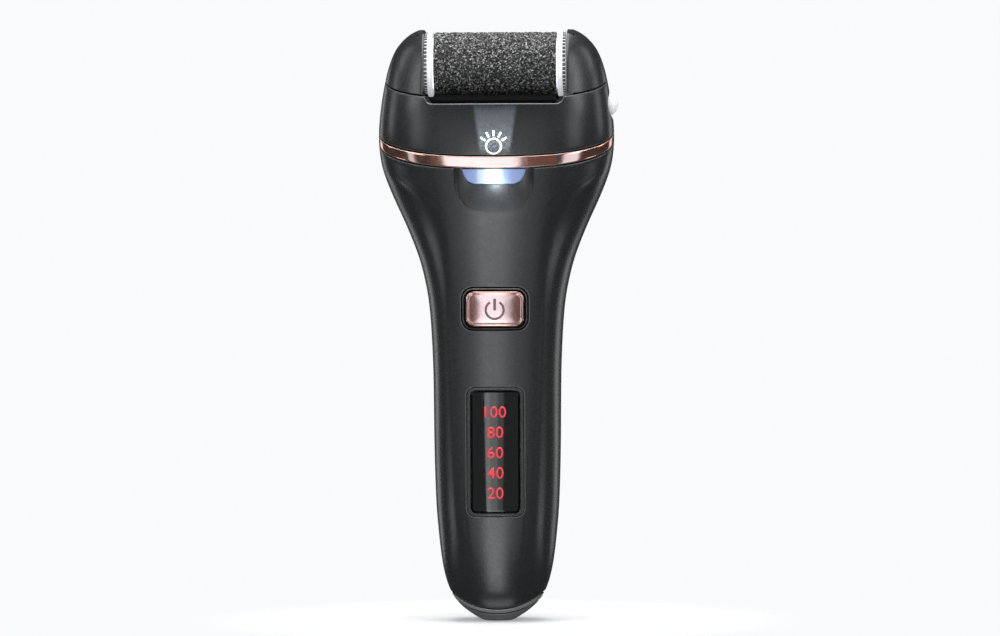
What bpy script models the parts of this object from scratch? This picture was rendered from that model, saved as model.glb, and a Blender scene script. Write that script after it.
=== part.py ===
# Cordless electric callus remover: a tapered two-shell handle, a wide head with
# a driven abrasive roller between two arm covers, and everything inside that
# makes it run. Modelled in its own frame: +Z runs up the handle from the centre
# of the flat on the end cap, -Y is the front with the button and the display,
# +X is the right-hand side seen from the front. Dimensions below are in
# millimetres and become metres when a mesh is made.
import math

import bmesh
import bpy
from mathutils import Matrix, Vector

MM = 0.001


# ---- outer form -----------------------------------------------------------
# height: half-width, depth of the front, depth of the back
FORM = (
    (0.0, 4.6, 4.2, 4.2),
    (0.8, 5.9, 5.2, 5.2),
    (1.6, 7.2, 6.3, 6.3),
    (2.8, 9.0, 7.8, 7.9),
    (4.4, 11.0, 9.5, 9.7),
    (6.6, 13.0, 11.2, 11.5),
    (9.5, 14.7, 12.7, 13.1),
    (13.0, 16.0, 13.9, 14.4),
    (18.0, 17.1, 15.1, 15.7),
    (25.0, 18.0, 16.0, 16.8),
    (37.0, 19.0, 16.6, 17.4),
    (55.0, 19.5, 16.8, 17.5),
    (75.0, 19.7, 16.9, 17.3),
    (90.0, 20.3, 17.0, 17.2),
    (99.0, 21.1, 17.3, 17.4),
    (105.0, 22.2, 17.7, 17.7),
    (111.0, 23.7, 18.2, 18.1),
    (117.0, 25.9, 18.8, 18.6),
    (123.0, 28.4, 19.5, 19.2),
    (129.0, 31.2, 20.3, 20.0),
    (135.0, 33.7, 21.0, 20.8),
    (139.0, 35.1, 21.4, 21.2),
    (144.0, 36.0, 21.7, 21.6),
    (149.5, 36.3, 21.6, 21.9),
    (155.0, 35.9, 21.1, 21.8),
    (160.0, 35.3, 20.1, 21.1),
    (164.5, 34.5, 18.5, 19.9),
    (168.5, 33.7, 17.0, 18.7),
    (172.0, 32.7, 15.2, 17.2),
    (175.5, 31.1, 13.0, 15.3),
    (178.5, 28.8, 10.4, 13.0),
    (180.6, 26.3, 8.0, 10.7),
    (181.8, 24.0, 6.0, 8.8),
    (182.2, 22.6, 4.8, 7.6),
)
# height: half-width of the front panel between its two side creases
CREASE = (
    (0.0, 3.0),
    (12.0, 8.6),
    (25.0, 10.8),
    (47.0, 12.4),
    (73.0, 13.7),
    (92.0, 14.2),
    (108.0, 14.6),
    (119.0, 15.3),
    (125.0, 17.2),
    (129.5, 20.4),
    (133.5, 25.2),
    (137.0, 30.2),
    (140.0, 33.8),
    (145.0, 34.6),
    (183.0, 20.0),
)
# height: how much wider than the body the panel's own curve would run
PANEL_SPREAD = ((0.0, 1.02), (20.0, 1.06), (45.0, 1.16), (90.0, 1.24), (112.0, 1.22), (122.0, 1.14), (131.0, 1.05), (138.0, 1.01), (141.0, 1.0), (183.0, 1.0))
FRONT_POWER = 2.5
BACK_POWER = 2.3
WALL = 2.0

# ---- parting planes: height on the side line, and rise per mm towards the back
BAND_LOW = (148.1, 0.43)
BAND_HIGH = (151.0, 0.38)
ARM_PLANE = (167.0, 0.34)
# ---- the two seams of the end cap: height in the middle, and rise with x squared
CAP_SEAM, RING_SEAM, SEAM_RISE = 2.4, 3.85, 0.024
LIP_Z = 158.8  # front edge of the roller trough
REAR_DECK_Z = 168.0  # rear edge of the roller trough
ARM_FACE_X = 21.85  # inner faces of the two arm covers

# ---- roller -----------------------------------------------------------------
ROLLER_Y, ROLLER_Z = -4.0, 171.4
RIM_R = 10.2
GRIT_R = 9.6
RIM_IN, RIM_OUT, RING_OUT = 19.15, 20.75, 21.6
AXLE_R, AXLE_BORE, AXLE_END = 1.1, 1.2, 23.9
SLOT_HALF = 1.35
LIFT_CLEAR = 0.2

# ---- gear train, roller end first ------------------------------------------
FINE_MODULE, COARSE_MODULE = 0.4, 0.5
ROLLER_TEETH, IDLER_TEETH, SMALL_TEETH = 46, 26, 18
WHEEL_TEETH, PINION_TEETH = 32, 12
CENTRE_SLACK = 0.05
IDLER_LEAN, COMPOUND_LEAN, MOTOR_LEAN = 12.0, 25.0, -12.0  # degrees off straight down
PIN_R, PIN_BORE = 0.75, 1.05

# ---- motor (20 mm flat-sided can) ---------------------------------------------
MOTOR_R, MOTOR_FLAT = 10.0, 7.55
MOTOR_X0, MOTOR_X1 = -12.0, 18.2
SHAFT_R = 1.0

# ---- controls ---------------------------------------------------------------
BUTTON_Z, BUTTON_W, BUTTON_H = 96.2, 17.9, 10.7
RELEASE_Z, RELEASE_R = 158.7, 3.45
DISPLAY_Z, FRAME_W, FRAME_H = 52.5, 17.0, 39.1
LENS_W, LENS_H = 14.7, 37.1
DIGIT_Z = (39.9, 46.1, 52.3, 58.5, 64.7)

# ---- cell (18 mm x 65 mm) -------------------------------------------------------
CELL_R, CELL_Y, CELL_Z0, CELL_Z1 = 9.1, 3.2, 24.0, 89.0


for old in list(bpy.data.objects):
    bpy.data.objects.remove(old, do_unlink=True)


def collection(name):
    made = bpy.data.collections.new(name)
    bpy.context.scene.collection.children.link(made)
    return made


PARTS = collection("electric_callus_remover")
CUTTERS = collection("cutters")
ROOT = bpy.data.objects.new("callus_remover_origin", None)
PARTS.objects.link(ROOT)


def finish(name, rgb, rough, metal=0.0):
    mat = bpy.data.materials.new(name)
    mat.use_nodes = True
    shader = mat.node_tree.nodes["Principled BSDF"]
    shader.inputs["Base Color"].default_value = (*rgb, 1.0)
    shader.inputs["Roughness"].default_value = rough
    shader.inputs["Metallic"].default_value = metal
    mat.diffuse_color = (*rgb, 1.0)
    return mat


CHARCOAL = (0.032, 0.034, 0.037)
ROSE = (0.80, 0.52, 0.42)
WHITE = (0.86, 0.87, 0.88)
STEEL = (0.60, 0.61, 0.62)
BLACK = (0.012, 0.012, 0.013)


# ---- helpers --------------------------------------------------------------------
def place(ob, cutter):
    (CUTTERS if cutter else PARTS).objects.link(ob)
    if cutter:
        ob.hide_render = True
        ob.display_type = "WIRE"
    else:
        ob.parent = ROOT
    return ob


def from_bmesh(name, bm, look, centre=(0, 0, 0)):
    """An object whose mesh is in millimetres about centre, scaled to metres."""
    bmesh.ops.scale(bm, vec=(MM, MM, MM), verts=bm.verts)
    bmesh.ops.recalc_face_normals(bm, faces=bm.faces)
    mesh = bpy.data.meshes.new(name)
    bm.to_mesh(mesh)
    bm.free()
    ob = bpy.data.objects.new(name, mesh)
    ob.location = Vector(centre) * MM
    if look:
        mesh.materials.append(finish(name, *look))
    return place(ob, look is None)


def smooth(ob, angle=32.0):
    ob.data.shade_smooth()
    ob.data.set_sharp_from_angle(angle=math.radians(angle))
    return ob


def box(name, x, y, z, look=None, bevel=0.0):
    centre = ((x[0] + x[1]) / 2, (y[0] + y[1]) / 2, (z[0] + z[1]) / 2)
    bm = bmesh.new()
    bmesh.ops.create_cube(bm, size=1.0)
    bmesh.ops.scale(bm, vec=(x[1] - x[0], y[1] - y[0], z[1] - z[0]), verts=bm.verts)
    ob = from_bmesh(name, bm, look, centre)
    if bevel:
        mod = ob.modifiers.new("edges", "BEVEL")
        mod.width, mod.segments = bevel * MM, 1
    return ob


AXES = {
    "x": Matrix(((0, 0, 1), (1, 0, 0), (0, 1, 0))),
    "y": Matrix(((1, 0, 0), (0, 0, -1), (0, 1, 0))),
    "z": Matrix.Identity(3),
}


def rod(name, axis, at, span, radius, look=None, sides=16, radius2=None):
    """A cylinder along an axis; at holds its two other coordinates."""
    mid, length = (span[0] + span[1]) / 2, span[1] - span[0]
    centre = {"x": (mid, at[0], at[1]), "y": (at[0], mid, at[1]), "z": (at[0], at[1], mid)}[axis]
    bm = bmesh.new()
    bmesh.ops.create_cone(
        bm, cap_ends=True, segments=sides, radius1=radius, radius2=radius if radius2 is None else radius2, depth=length
    )
    bmesh.ops.rotate(bm, matrix=AXES[axis], verts=bm.verts)
    return smooth(from_bmesh(name, bm, look, centre))


def outline(name, axis, loops, span, look=None):
    """Flat outlines, the first one solid and the others holes, extruded along an axis.
    Points are (y, z) on axis x, (x, z) on axis y and (x, y) on axis z."""
    curve = bpy.data.curves.new(name, "CURVE")
    curve.dimensions = "2D"
    curve.fill_mode = "BOTH"
    curve.extrude = (span[1] - span[0]) / 2 * MM
    curve.resolution_u = 1
    curve.render_resolution_u = 0
    for loop in loops:
        spline = curve.splines.new("POLY")
        spline.points.add(len(loop) - 1)
        for point, (u, v) in zip(spline.points, loop):
            point.co = (u * MM, v * MM, 0.0, 1.0)
        spline.use_cyclic_u = True
    flat = bpy.data.objects.new(name + "_flat", curve)
    CUTTERS.objects.link(flat)
    bpy.context.view_layer.update()
    mesh = bpy.data.meshes.new_from_object(flat.evaluated_get(bpy.context.evaluated_depsgraph_get()))
    bpy.data.objects.remove(flat, do_unlink=True)
    bm = bmesh.new()
    bm.from_mesh(mesh)
    bmesh.ops.remove_doubles(bm, verts=bm.verts, dist=2e-6)
    bmesh.ops.rotate(bm, matrix=AXES[axis], verts=bm.verts)
    bmesh.ops.recalc_face_normals(bm, faces=bm.faces)
    bm.to_mesh(mesh)
    bm.free()
    mesh.name = name
    ob = bpy.data.objects.new(name, mesh)
    mid = (span[0] + span[1]) / 2 * MM
    ob.location = {"x": (mid, 0, 0), "y": (0, mid, 0), "z": (0, 0, mid)}[axis]
    mesh.materials.clear()
    if look:
        mesh.materials.append(finish(name, *look))
    return place(ob, look is None)


def circle(u, v, radius, points=12, turn=0.0):
    step = 2 * math.pi / points
    return [(u + radius * math.cos(turn + i * step), v + radius * math.sin(turn + i * step)) for i in range(points)]


def rounded(u, v, width, height, radius, steps=3):
    """A rectangle with round corners, as points."""
    points = []
    for cu, cv, start in ((1, -1, -90), (1, 1, 0), (-1, 1, 90), (-1, -1, 180)):
        for i in range(steps + 1):
            a = math.radians(start + 90.0 * i / steps)
            points.append(
                (u + cu * (width / 2 - radius) + radius * math.cos(a), v + cv * (height / 2 - radius) + radius * math.sin(a))
            )
    return points


def turned(name, profile, centre, look, sides=20):
    """A profile of (radius, distance along +X) turned about an X axis through centre."""
    mesh = bpy.data.meshes.new(name)
    mesh.from_pydata([(r * MM, 0.0, h * MM) for r, h in profile], [(i, i + 1) for i in range(len(profile) - 1)], [])
    mesh.materials.append(finish(name, *look))
    ob = bpy.data.objects.new(name, mesh)
    ob.location = Vector(centre) * MM
    ob.rotation_euler = (0.0, math.radians(90.0), 0.0)
    mod = ob.modifiers.new("turn", "SCREW")
    mod.axis, mod.steps, mod.render_steps = "Z", sides, sides
    mod.use_merge_vertices, mod.merge_threshold = True, 1e-6
    mod.use_normal_calculate = False
    return place(ob, False)


LOFTS = set()  # the exact solver leaves hairline gaps on these doubly curved skins


def boolean(ob, operation, other):
    mod = ob.modifiers.new(operation.lower(), "BOOLEAN")
    solver = "MANIFOLD" if LOFTS & {ob.name, other.name} else "EXACT"
    if solver == "MANIFOLD":
        LOFTS.add(ob.name)
    mod.operation, mod.solver, mod.object = operation, solver, other
    return ob


def cut(ob, *others):
    for other in others:
        boolean(ob, "DIFFERENCE", other)
    return ob


def keep(ob, *others):
    for other in others:
        boolean(ob, "INTERSECT", other)
    return ob


def join(ob, *others):
    for other in others:
        boolean(ob, "UNION", other)
    return ob


def wire(name, points, radius, look, resolution=1):
    """A round wire through points in millimetres."""
    curve = bpy.data.curves.new(name, "CURVE")
    curve.dimensions = "3D"
    curve.bevel_depth = radius * MM
    curve.bevel_resolution = resolution
    curve.use_fill_caps = True
    curve.resolution_u = 1
    curve.render_resolution_u = 0
    spline = curve.splines.new("POLY")
    spline.points.add(len(points) - 1)
    for point, p in zip(spline.points, points):
        point.co = (p[0] * MM, p[1] * MM, p[2] * MM, 1.0)
    curve.materials.append(finish(name, *look))
    return place(bpy.data.objects.new(name, curve), False)


def route(anchors, count):
    """A smooth curve through anchors, read at evenly spaced steps."""
    pts = [Vector(p) for p in anchors]
    pts = [2 * pts[0] - pts[1]] + pts + [2 * pts[-1] - pts[-2]]
    out = []
    spans = len(pts) - 3
    for n in range(count):
        t = n / (count - 1) * spans
        i = min(int(t), spans - 1)
        u = t - i
        a, b, c, d = pts[i : i + 4]
        out.append(
            0.5 * ((2 * b) + (c - a) * u + (2 * a - 5 * b + 4 * c - d) * u * u + (3 * b - a - 3 * c + d) * u * u * u)
        )
    return out


# ---- the outer form ------------------------------------------------------------
def read(table, column, z):
    """A smooth monotone curve through one column of a table."""
    xs = [row[0] for row in table]
    ys = [row[column] for row in table]
    if z <= xs[0]:
        return ys[0]
    if z >= xs[-1]:
        return ys[-1]
    i = max(k for k in range(len(xs) - 1) if xs[k] <= z)

    def grade(k):
        if k in (0, len(xs) - 1):
            j = 0 if k == 0 else len(xs) - 2
            return (ys[j + 1] - ys[j]) / (xs[j + 1] - xs[j])
        left = (ys[k] - ys[k - 1]) / (xs[k] - xs[k - 1])
        right = (ys[k + 1] - ys[k]) / (xs[k + 1] - xs[k])
        return 0.0 if left * right <= 0 else 2 * left * right / (left + right)

    h = xs[i + 1] - xs[i]
    t = (z - xs[i]) / h
    return (
        (1 + 2 * t) * (1 - t) ** 2 * ys[i]
        + t * (1 - t) ** 2 * h * grade(i)
        + t * t * (3 - 2 * t) * ys[i + 1]
        + t * t * (t - 1) * h * grade(i + 1)
    )


def ease(low, high, z):
    t = min(max((z - low) / (high - low), 0.0), 1.0)
    return t * t * (3 - 2 * t)


def section(z, inset=0.0, panel=4, flank=3, back=7):
    """One closed ring of the outer form, anticlockwise seen from above."""
    a, front, rear = (read(FORM, c, z) - inset for c in (1, 2, 3))
    plain = max(ease(134.0, 141.0, z), 1.0 - ease(14.0, 30.0, z))
    xc = min(read(CREASE, 1, z) - 0.55 * inset, 0.93 * a)
    wide = a * read(PANEL_SPREAD, 1, z)
    u0 = 0.34
    yc = (1 - (xc / wide) ** FRONT_POWER) ** (1 / FRONT_POWER)

    def depth(x):
        x = min(x, a)
        full = (1 - (x / a) ** FRONT_POWER) ** (1 / FRONT_POWER) if x < a else 0.0
        if x <= xc:
            creased = (1 - (x / wide) ** FRONT_POWER) ** (1 / FRONT_POWER)
        else:
            u = min(u0 + (1 - u0) * (x - xc) / (a - xc), 1.0)
            creased = yc * math.sqrt(1 - u * u) / math.sqrt(1 - u0 * u0)
        return -front * (plain * full + (1 - plain) * creased)

    count = panel + flank
    side = []
    for k in range(count + 1):
        even = a * math.sin(k / count * math.pi / 2) ** (2 / FRONT_POWER)
        if k <= panel:
            at = xc * k / panel
        else:
            start = math.asin(u0)
            u = math.sin(start + (math.pi / 2 - start) * (k - panel) / flank)
            at = xc + (a - xc) * (u - u0) / (1 - u0)
        x = plain * even + (1 - plain) * at
        side.append((x, depth(x) if k < count else 0.0))
    for k in range(back - 1, -1, -1):
        angle = k / back * math.pi / 2
        side.append((a * math.sin(angle) ** (2 / BACK_POWER), rear * math.cos(angle) ** (2 / BACK_POWER)))
    return side + [(-x, y) for x, y in side[-2:0:-1]]


def lofted(name, heights, inset=0.0, look=None):
    """The outer form, or one drawn inside it, as a closed solid between two heights."""
    bm = bmesh.new()
    rings = [[bm.verts.new((x, y, z)) for x, y in section(z, inset)] for z in heights]
    n = len(rings[0])
    for low, high in zip(rings, rings[1:]):
        for i in range(n):
            j = (i + 1) % n
            bm.faces.new((low[i], low[j], high[j], high[i]))
    bm.faces.new(rings[0][::-1])
    bm.faces.new(rings[-1])
    LOFTS.add(name)
    return smooth(from_bmesh(name, bm, look))


def level(plane, y, shift=0.0):
    return plane[0] + plane[1] * y + shift


def region(name, low, high, y=(-45.0, 45.0), x=(-60.0, 60.0)):
    """Everything between two sloping planes, each (plane, shift), or a height."""
    def at(edge, yy):
        return level(edge[0], yy, edge[1]) if isinstance(edge, tuple) else edge

    return outline(
        name, "x", [[(y[0], at(low, y[0])), (y[1], at(low, y[1])), (y[1], at(high, y[1])), (y[0], at(high, y[0]))]], x
    )


HANDLE_Z = [0.0, 0.8, 1.8, 3.4, 5.6, 8.6, 13.0, 19.0, 28.0, 42.0, 60.0, 80.0, 94.0, 103.0, 110.0, 116.0, 121.5, 126.5, 131.0, 135.0, 139.0, 143.0, 148.0, 154.0, 161.0]
HANDLE_IN = [2.4, 4.0, 6.4, 10.0, 15.0, 24.0, 42.0, 60.0, 80.0, 96.0, 106.0, 115.0, 122.5, 129.0, 134.5, 139.5, 145.0, 153.0, 162.0]
HEAD_Z = [140.0, 145.0, 150.0, 155.0, 160.0, 164.5, 168.5, 172.0, 175.0, 177.7, 179.8, 181.3, 182.2]
HEAD_IN = [138.0, 145.0, 150.0, 155.0, 160.0, 164.5, 168.5, 172.0, 175.0, 177.6, 179.4, 180.6]

handle_inside = lofted("handle_inside", HANDLE_IN, WALL)
head_inside = lofted("head_inside", HEAD_IN, WALL)
head_outside = lofted("head_outside", HEAD_Z)
handle_outside = lofted("handle_outside", HANDLE_Z)

# ---- handle shells, end cap and rings ------------------------------------------


def below_seam(name, middle):
    """Everything below a seam that rises towards both sides."""
    xs = [-26.0 + 2.0 * i for i in range(27)]
    return outline(name, "y", [[(-26.0, -8.0), (26.0, -8.0)] + [(x, middle + SEAM_RISE * x * x) for x in reversed(xs)]], (-45.0, 45.0))


front_shell = lofted("front_shell", HANDLE_Z, 0.0, (CHARCOAL, 0.42))
keep(front_shell, region("front_shell_region", -3.0, (BAND_LOW, -0.15), y=(-45.0, -0.15)))
cut(front_shell, below_seam("front_end", RING_SEAM + 0.15), handle_inside)
rear_shell = lofted("rear_shell", HANDLE_Z, 0.0, (CHARCOAL, 0.42))
keep(rear_shell, region("rear_shell_region", -3.0, (BAND_LOW, -0.15), y=(0.15, 45.0)))
cut(rear_shell, below_seam("rear_end", RING_SEAM + 0.15), handle_inside)

bottom_cap = lofted("bottom_cap", HANDLE_Z[:9], 0.0, (CHARCOAL, 0.35))
keep(bottom_cap, below_seam("bottom_cap_region", CAP_SEAM - 0.15))
bottom_ring = lofted("bottom_ring", HANDLE_Z[:9], 0.0, ((0.30, 0.31, 0.33), 0.3, 0.6))
keep(bottom_ring, below_seam("bottom_ring_region", RING_SEAM - 0.15))
cut(bottom_ring, below_seam("bottom_ring_floor", CAP_SEAM + 0.15))
cut(bottom_ring, lofted("bottom_ring_inside", [1.0, 3.0, 5.0, 8.0, 12.0, 18.0], 2.6))

accent_band = lofted("accent_band", [134.0, 139.0, 144.0, 149.0, 154.0, 163.0], 0.0, (ROSE, 0.16, 1.0))
keep(accent_band, region("accent_band_region", (BAND_LOW, 0.15), (BAND_HIGH, -0.15)))
cut(accent_band, lofted("band_inside", [132.0, 138.0, 145.0, 150.0, 155.0, 165.0], 1.6))

# ---- head: housing, arm covers, trough ---------------------------------------------
head_housing = lofted("head_housing", [138.0] + HEAD_Z[1:], 0.0, (CHARCOAL, 0.42))
keep(head_housing, region("head_region", (BAND_HIGH, 0.15), 190.0))
cut(head_housing, head_inside)
trough_cut = outline(
    "trough_cut", "x", [[(-45, LIP_Z), (0, LIP_Z), (8, REAR_DECK_Z), (45, REAR_DECK_Z), (45, 195), (-45, 195)]], (-ARM_FACE_X, ARM_FACE_X)
)
arm_cut_right = region("arm_cut_right", (ARM_PLANE, -0.15), 195.0, x=(ARM_FACE_X - 0.3, 60))
arm_cut_left = region("arm_cut_left", (ARM_PLANE, -0.15), 195.0, x=(-60, -ARM_FACE_X + 0.3))
bm = bmesh.new()
bmesh.ops.create_uvsphere(bm, u_segments=16, v_segments=12, radius=7.0)
finger_dish = from_bmesh("finger_dish", bm, None, (41.1, 0.0, RELEASE_Z + 0.1))
release_hole = rod("release_hole", "x", (0.0, RELEASE_Z), (28.0, 45.0), RELEASE_R + 0.35, sides=20)
cut(head_housing, arm_cut_right, arm_cut_left, trough_cut, finger_dish, release_hole)


def arm_cover(name, side):
    """One roller arm cover: a domed shell open below, with an upright slot for the axle's end."""
    outer, inner, slot_end = ARM_FACE_X, ARM_FACE_X + 1.5, AXLE_END + 0.3
    span = (lambda a, b: (a, b) if side > 0 else (-b, -a))
    cover = lofted(name, HEAD_Z[3:], 0.0, (CHARCOAL, 0.42))
    keep(cover, region(name + "_region", (ARM_PLANE, 0.15), 195.0, x=span(outer, 60.0)))
    hollow = lofted(name + "_hollow", [150.0, 155.0, 160.0, 164.5, 168.5, 172.0, 175.0, 177.4, 179.4, 180.4], 1.8)
    keep(hollow, box(name + "_hollow_side", span(inner, 60.0), (-45, 45), (140, 190)))
    slot = box(
        name + "_slot", span(outer - 1.0, slot_end), (ROLLER_Y - SLOT_HALF, ROLLER_Y + SLOT_HALF), (ROLLER_Z - AXLE_R - LIFT_CLEAR, 190.0)
    )
    return cut(cover, hollow, slot)


left_arm_cover = arm_cover("left_arm_cover", -1)
right_arm_cover = arm_cover("right_arm_cover", 1)

TROUGH_R, LINER = 13.1, 1.2


def trough_profile():
    inner = [(-19.5, 158.3), (ROLLER_Y, ROLLER_Z - TROUGH_R)]
    for deg in range(-75, -14, 15):
        a = math.radians(deg)
        inner.append((ROLLER_Y + TROUGH_R * math.cos(a), ROLLER_Z + TROUGH_R * math.sin(a)))
    inner.append((20.0, 167.4))
    outer = [(20.0, 167.4 - LINER)]
    for deg in range(-20, -81, -15):
        a = math.radians(deg)
        outer.append((ROLLER_Y + (TROUGH_R + LINER) * math.cos(a), ROLLER_Z + (TROUGH_R + LINER) * math.sin(a)))
    outer += [(ROLLER_Y, ROLLER_Z - TROUGH_R - LINER), (-19.5, 158.3 - LINER)]
    return inner + outer


roller_trough = outline("roller_trough", "x", [trough_profile()], (-22.2, 21.5), (BLACK, 0.12))
trough_cheek = outline(
    "trough_cheek",
    "x",
    [[(-17.0, 154.5), (8.0, 154.5), (15.0, 157.4), (15.0, level(ARM_PLANE, 15.0, -0.5)), (-17.0, level(ARM_PLANE, -17.0, -0.5))]],
    (-23.3, -21.85),
)
liner_limit = lofted("liner_limit", HEAD_IN[2:9], WALL + 0.35)
join(roller_trough, trough_cheek)
keep(roller_trough, liner_limit)
cut(roller_trough, box("gear_notch", (18.3, 30.0), (-8.4, 6.7), (150.0, 166.0)))

head_seal = lofted("head_seal", [136.0, 142.0, 148.0, 154.0, 163.0], 2.35, ((0.03, 0.03, 0.03), 0.8))
keep(head_seal, region("head_seal_region", ((148.9, 0.40), 0.0), ((150.3, 0.40), 0.0)))
cut(head_seal, lofted("head_seal_inside", [132.0, 140.0, 148.0, 156.0, 166.0], 3.9))

# ---- gear train geometry --------------------------------------------------------
def below(y, z, distance, lean):
    a = math.radians(lean)
    return y + distance * math.sin(a), z - distance * math.cos(a)


IDLER = below(ROLLER_Y, ROLLER_Z, FINE_MODULE * (ROLLER_TEETH + IDLER_TEETH) / 2 + CENTRE_SLACK, IDLER_LEAN)
COMPOUND = below(*IDLER, FINE_MODULE * (IDLER_TEETH + SMALL_TEETH) / 2 + CENTRE_SLACK, COMPOUND_LEAN)
MOTOR = below(*COMPOUND, COARSE_MODULE * (WHEEL_TEETH + PINION_TEETH) / 2 + CENTRE_SLACK, MOTOR_LEAN)


def towards(a, b):
    return math.atan2(b[1] - a[1], b[0] - a[0])


def partner_phase(phase, teeth, direction, partner_teeth):
    """The turn that puts a partner's gaps on this gear's teeth along direction."""
    share = (direction - phase) * teeth / (2 * math.pi)
    return direction + math.pi - (0.5 - share) * 2 * math.pi / partner_teeth


ROLLER_PHASE = towards((ROLLER_Y, ROLLER_Z), IDLER)
IDLER_PHASE = partner_phase(ROLLER_PHASE, ROLLER_TEETH, ROLLER_PHASE, IDLER_TEETH)
SMALL_PHASE = partner_phase(IDLER_PHASE, IDLER_TEETH, towards(IDLER, COMPOUND), SMALL_TEETH)
WHEEL_PHASE = SMALL_PHASE
PINION_PHASE = partner_phase(WHEEL_PHASE, WHEEL_TEETH, towards(COMPOUND, MOTOR), PINION_TEETH)


def gear_loop(centre, teeth, module, phase):
    """A spur gear's outline: straight-flanked teeth with running backlash."""
    root, tip = module * (teeth / 2 - 1.2), module * (teeth / 2 + 0.95)
    half_root, half_tip = 0.86 * module / root, 0.29 * module / tip
    points = []
    for i in range(teeth):
        middle = phase + 2 * math.pi * i / teeth
        for radius, turn in ((root, -half_root), (tip, -half_tip), (tip, half_tip), (root, half_root)):
            points.append((centre[0] + radius * math.cos(middle + turn), centre[1] + radius * math.sin(middle + turn)))
    return points


# ---- roller ---------------------------------------------------------------------
R_AT = (ROLLER_Y, ROLLER_Z)
rod("roller_axle", "x", R_AT, (-AXLE_END, AXLE_END), AXLE_R, (STEEL, 0.25, 1.0))
roller_core = rod("roller_core", "x", R_AT, (-18.8, 18.8), 8.0, (WHITE, 0.4), 24)
cut(roller_core, rod("roller_core_bore", "x", R_AT, (-20, 20), AXLE_BORE))
abrasive_sleeve = rod("abrasive_sleeve", "x", R_AT, (-18.85, 18.85), GRIT_R, ((0.05, 0.05, 0.055), 0.85), 36)
cut(abrasive_sleeve, rod("abrasive_sleeve_bore", "x", R_AT, (-20, 20), 8.35, None, 24))
roller_cap_left = rod("roller_cap_left", "x", R_AT, (-RIM_OUT, -RIM_IN), RIM_R, (WHITE, 0.35), 36)
join(roller_cap_left, rod("roller_cap_left_ring", "x", R_AT, (-RING_OUT, -RIM_OUT + 0.4), 9.4, None, 36))
cut(roller_cap_left, rod("roller_cap_left_bore", "x", R_AT, (-23, -18), AXLE_BORE))
roller_gear_cap = rod("roller_gear_cap", "x", R_AT, (RIM_IN, RIM_OUT), RIM_R, (WHITE, 0.35), 36)
join(
    roller_gear_cap,
    outline("roller_gear_ring", "x", [gear_loop(R_AT, ROLLER_TEETH, FINE_MODULE, ROLLER_PHASE)], (RIM_OUT - 0.4, RING_OUT)),
)
cut(roller_gear_cap, rod("roller_gear_cap_bore", "x", R_AT, (18, 23), AXLE_BORE))

# ---- gears, pins, plates ------------------------------------------------------------
outline(
    "idler_gear", "x", [gear_loop(IDLER, IDLER_TEETH, FINE_MODULE, IDLER_PHASE), circle(*IDLER, PIN_BORE)], (20.95, 23.5), (WHITE, 0.4)
)
compound_gear = outline(
    "compound_gear",
    "x",
    [gear_loop(COMPOUND, WHEEL_TEETH, COARSE_MODULE, WHEEL_PHASE), circle(*COMPOUND, PIN_BORE)],
    (23.9, 26.5),
    ((0.75, 0.73, 0.68), 0.4),
)
join(
    compound_gear,
    outline(
        "compound_small_teeth",
        "x",
        [gear_loop(COMPOUND, SMALL_TEETH, FINE_MODULE, SMALL_PHASE), circle(*COMPOUND, PIN_BORE + 0.05, 12, 0.1)],
        (21.0, 24.4),
    ),
)
outline(
    "motor_pinion", "x", [gear_loop(MOTOR, PINION_TEETH, COARSE_MODULE, PINION_PHASE), circle(*MOTOR, SHAFT_R + 0.3)], (23.9, 26.5), ((0.72, 0.55, 0.28), 0.3, 1.0)
)
rod("idler_pin", "x", IDLER, (18.4, 23.6), PIN_R, (STEEL, 0.2, 1.0), 12)
rod("compound_pin", "x", COMPOUND, (18.4, 28.6), PIN_R, (STEEL, 0.2, 1.0), 12)

SCREW_OFF = 6.2
MOTOR_SCREWS = ((MOTOR[0] - SCREW_OFF, MOTOR[1]), (MOTOR[0] + SCREW_OFF, MOTOR[1]))
outline(
    "gear_plate",
    "x",
    [
        [(-10.5, 130.0), (11.5, 130.0), (11.5, 146.0), (6.5, 154.0), (5.0, 160.4), (-7.0, 160.4), (-8.0, 152.0), (-10.5, 146.0)],
        circle(*IDLER, PIN_BORE),
        circle(*COMPOUND, PIN_BORE),
        circle(*MOTOR, 3.2, 16),
        circle(*MOTOR_SCREWS[0], 1.25),
        circle(*MOTOR_SCREWS[1], 1.25),
    ],
    (18.6, 20.2),
    ((0.08, 0.08, 0.085), 0.5),
)
outline(
    "gearbox_cover",
    "x",
    [
        [(-6.5, 138.0), (8.0, 138.0), (9.0, 148.0), (6.5, 154.0), (4.2, 156.0), (4.2, 162.0), (-4.2, 162.0), (-4.2, 156.0), (-6.5, 151.0)],
        circle(*COMPOUND, PIN_BORE),
        circle(0.0, RELEASE_Z, 1.4),
    ],
    (27.3, 28.5),
    ((0.08, 0.08, 0.085), 0.5),
)

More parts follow.
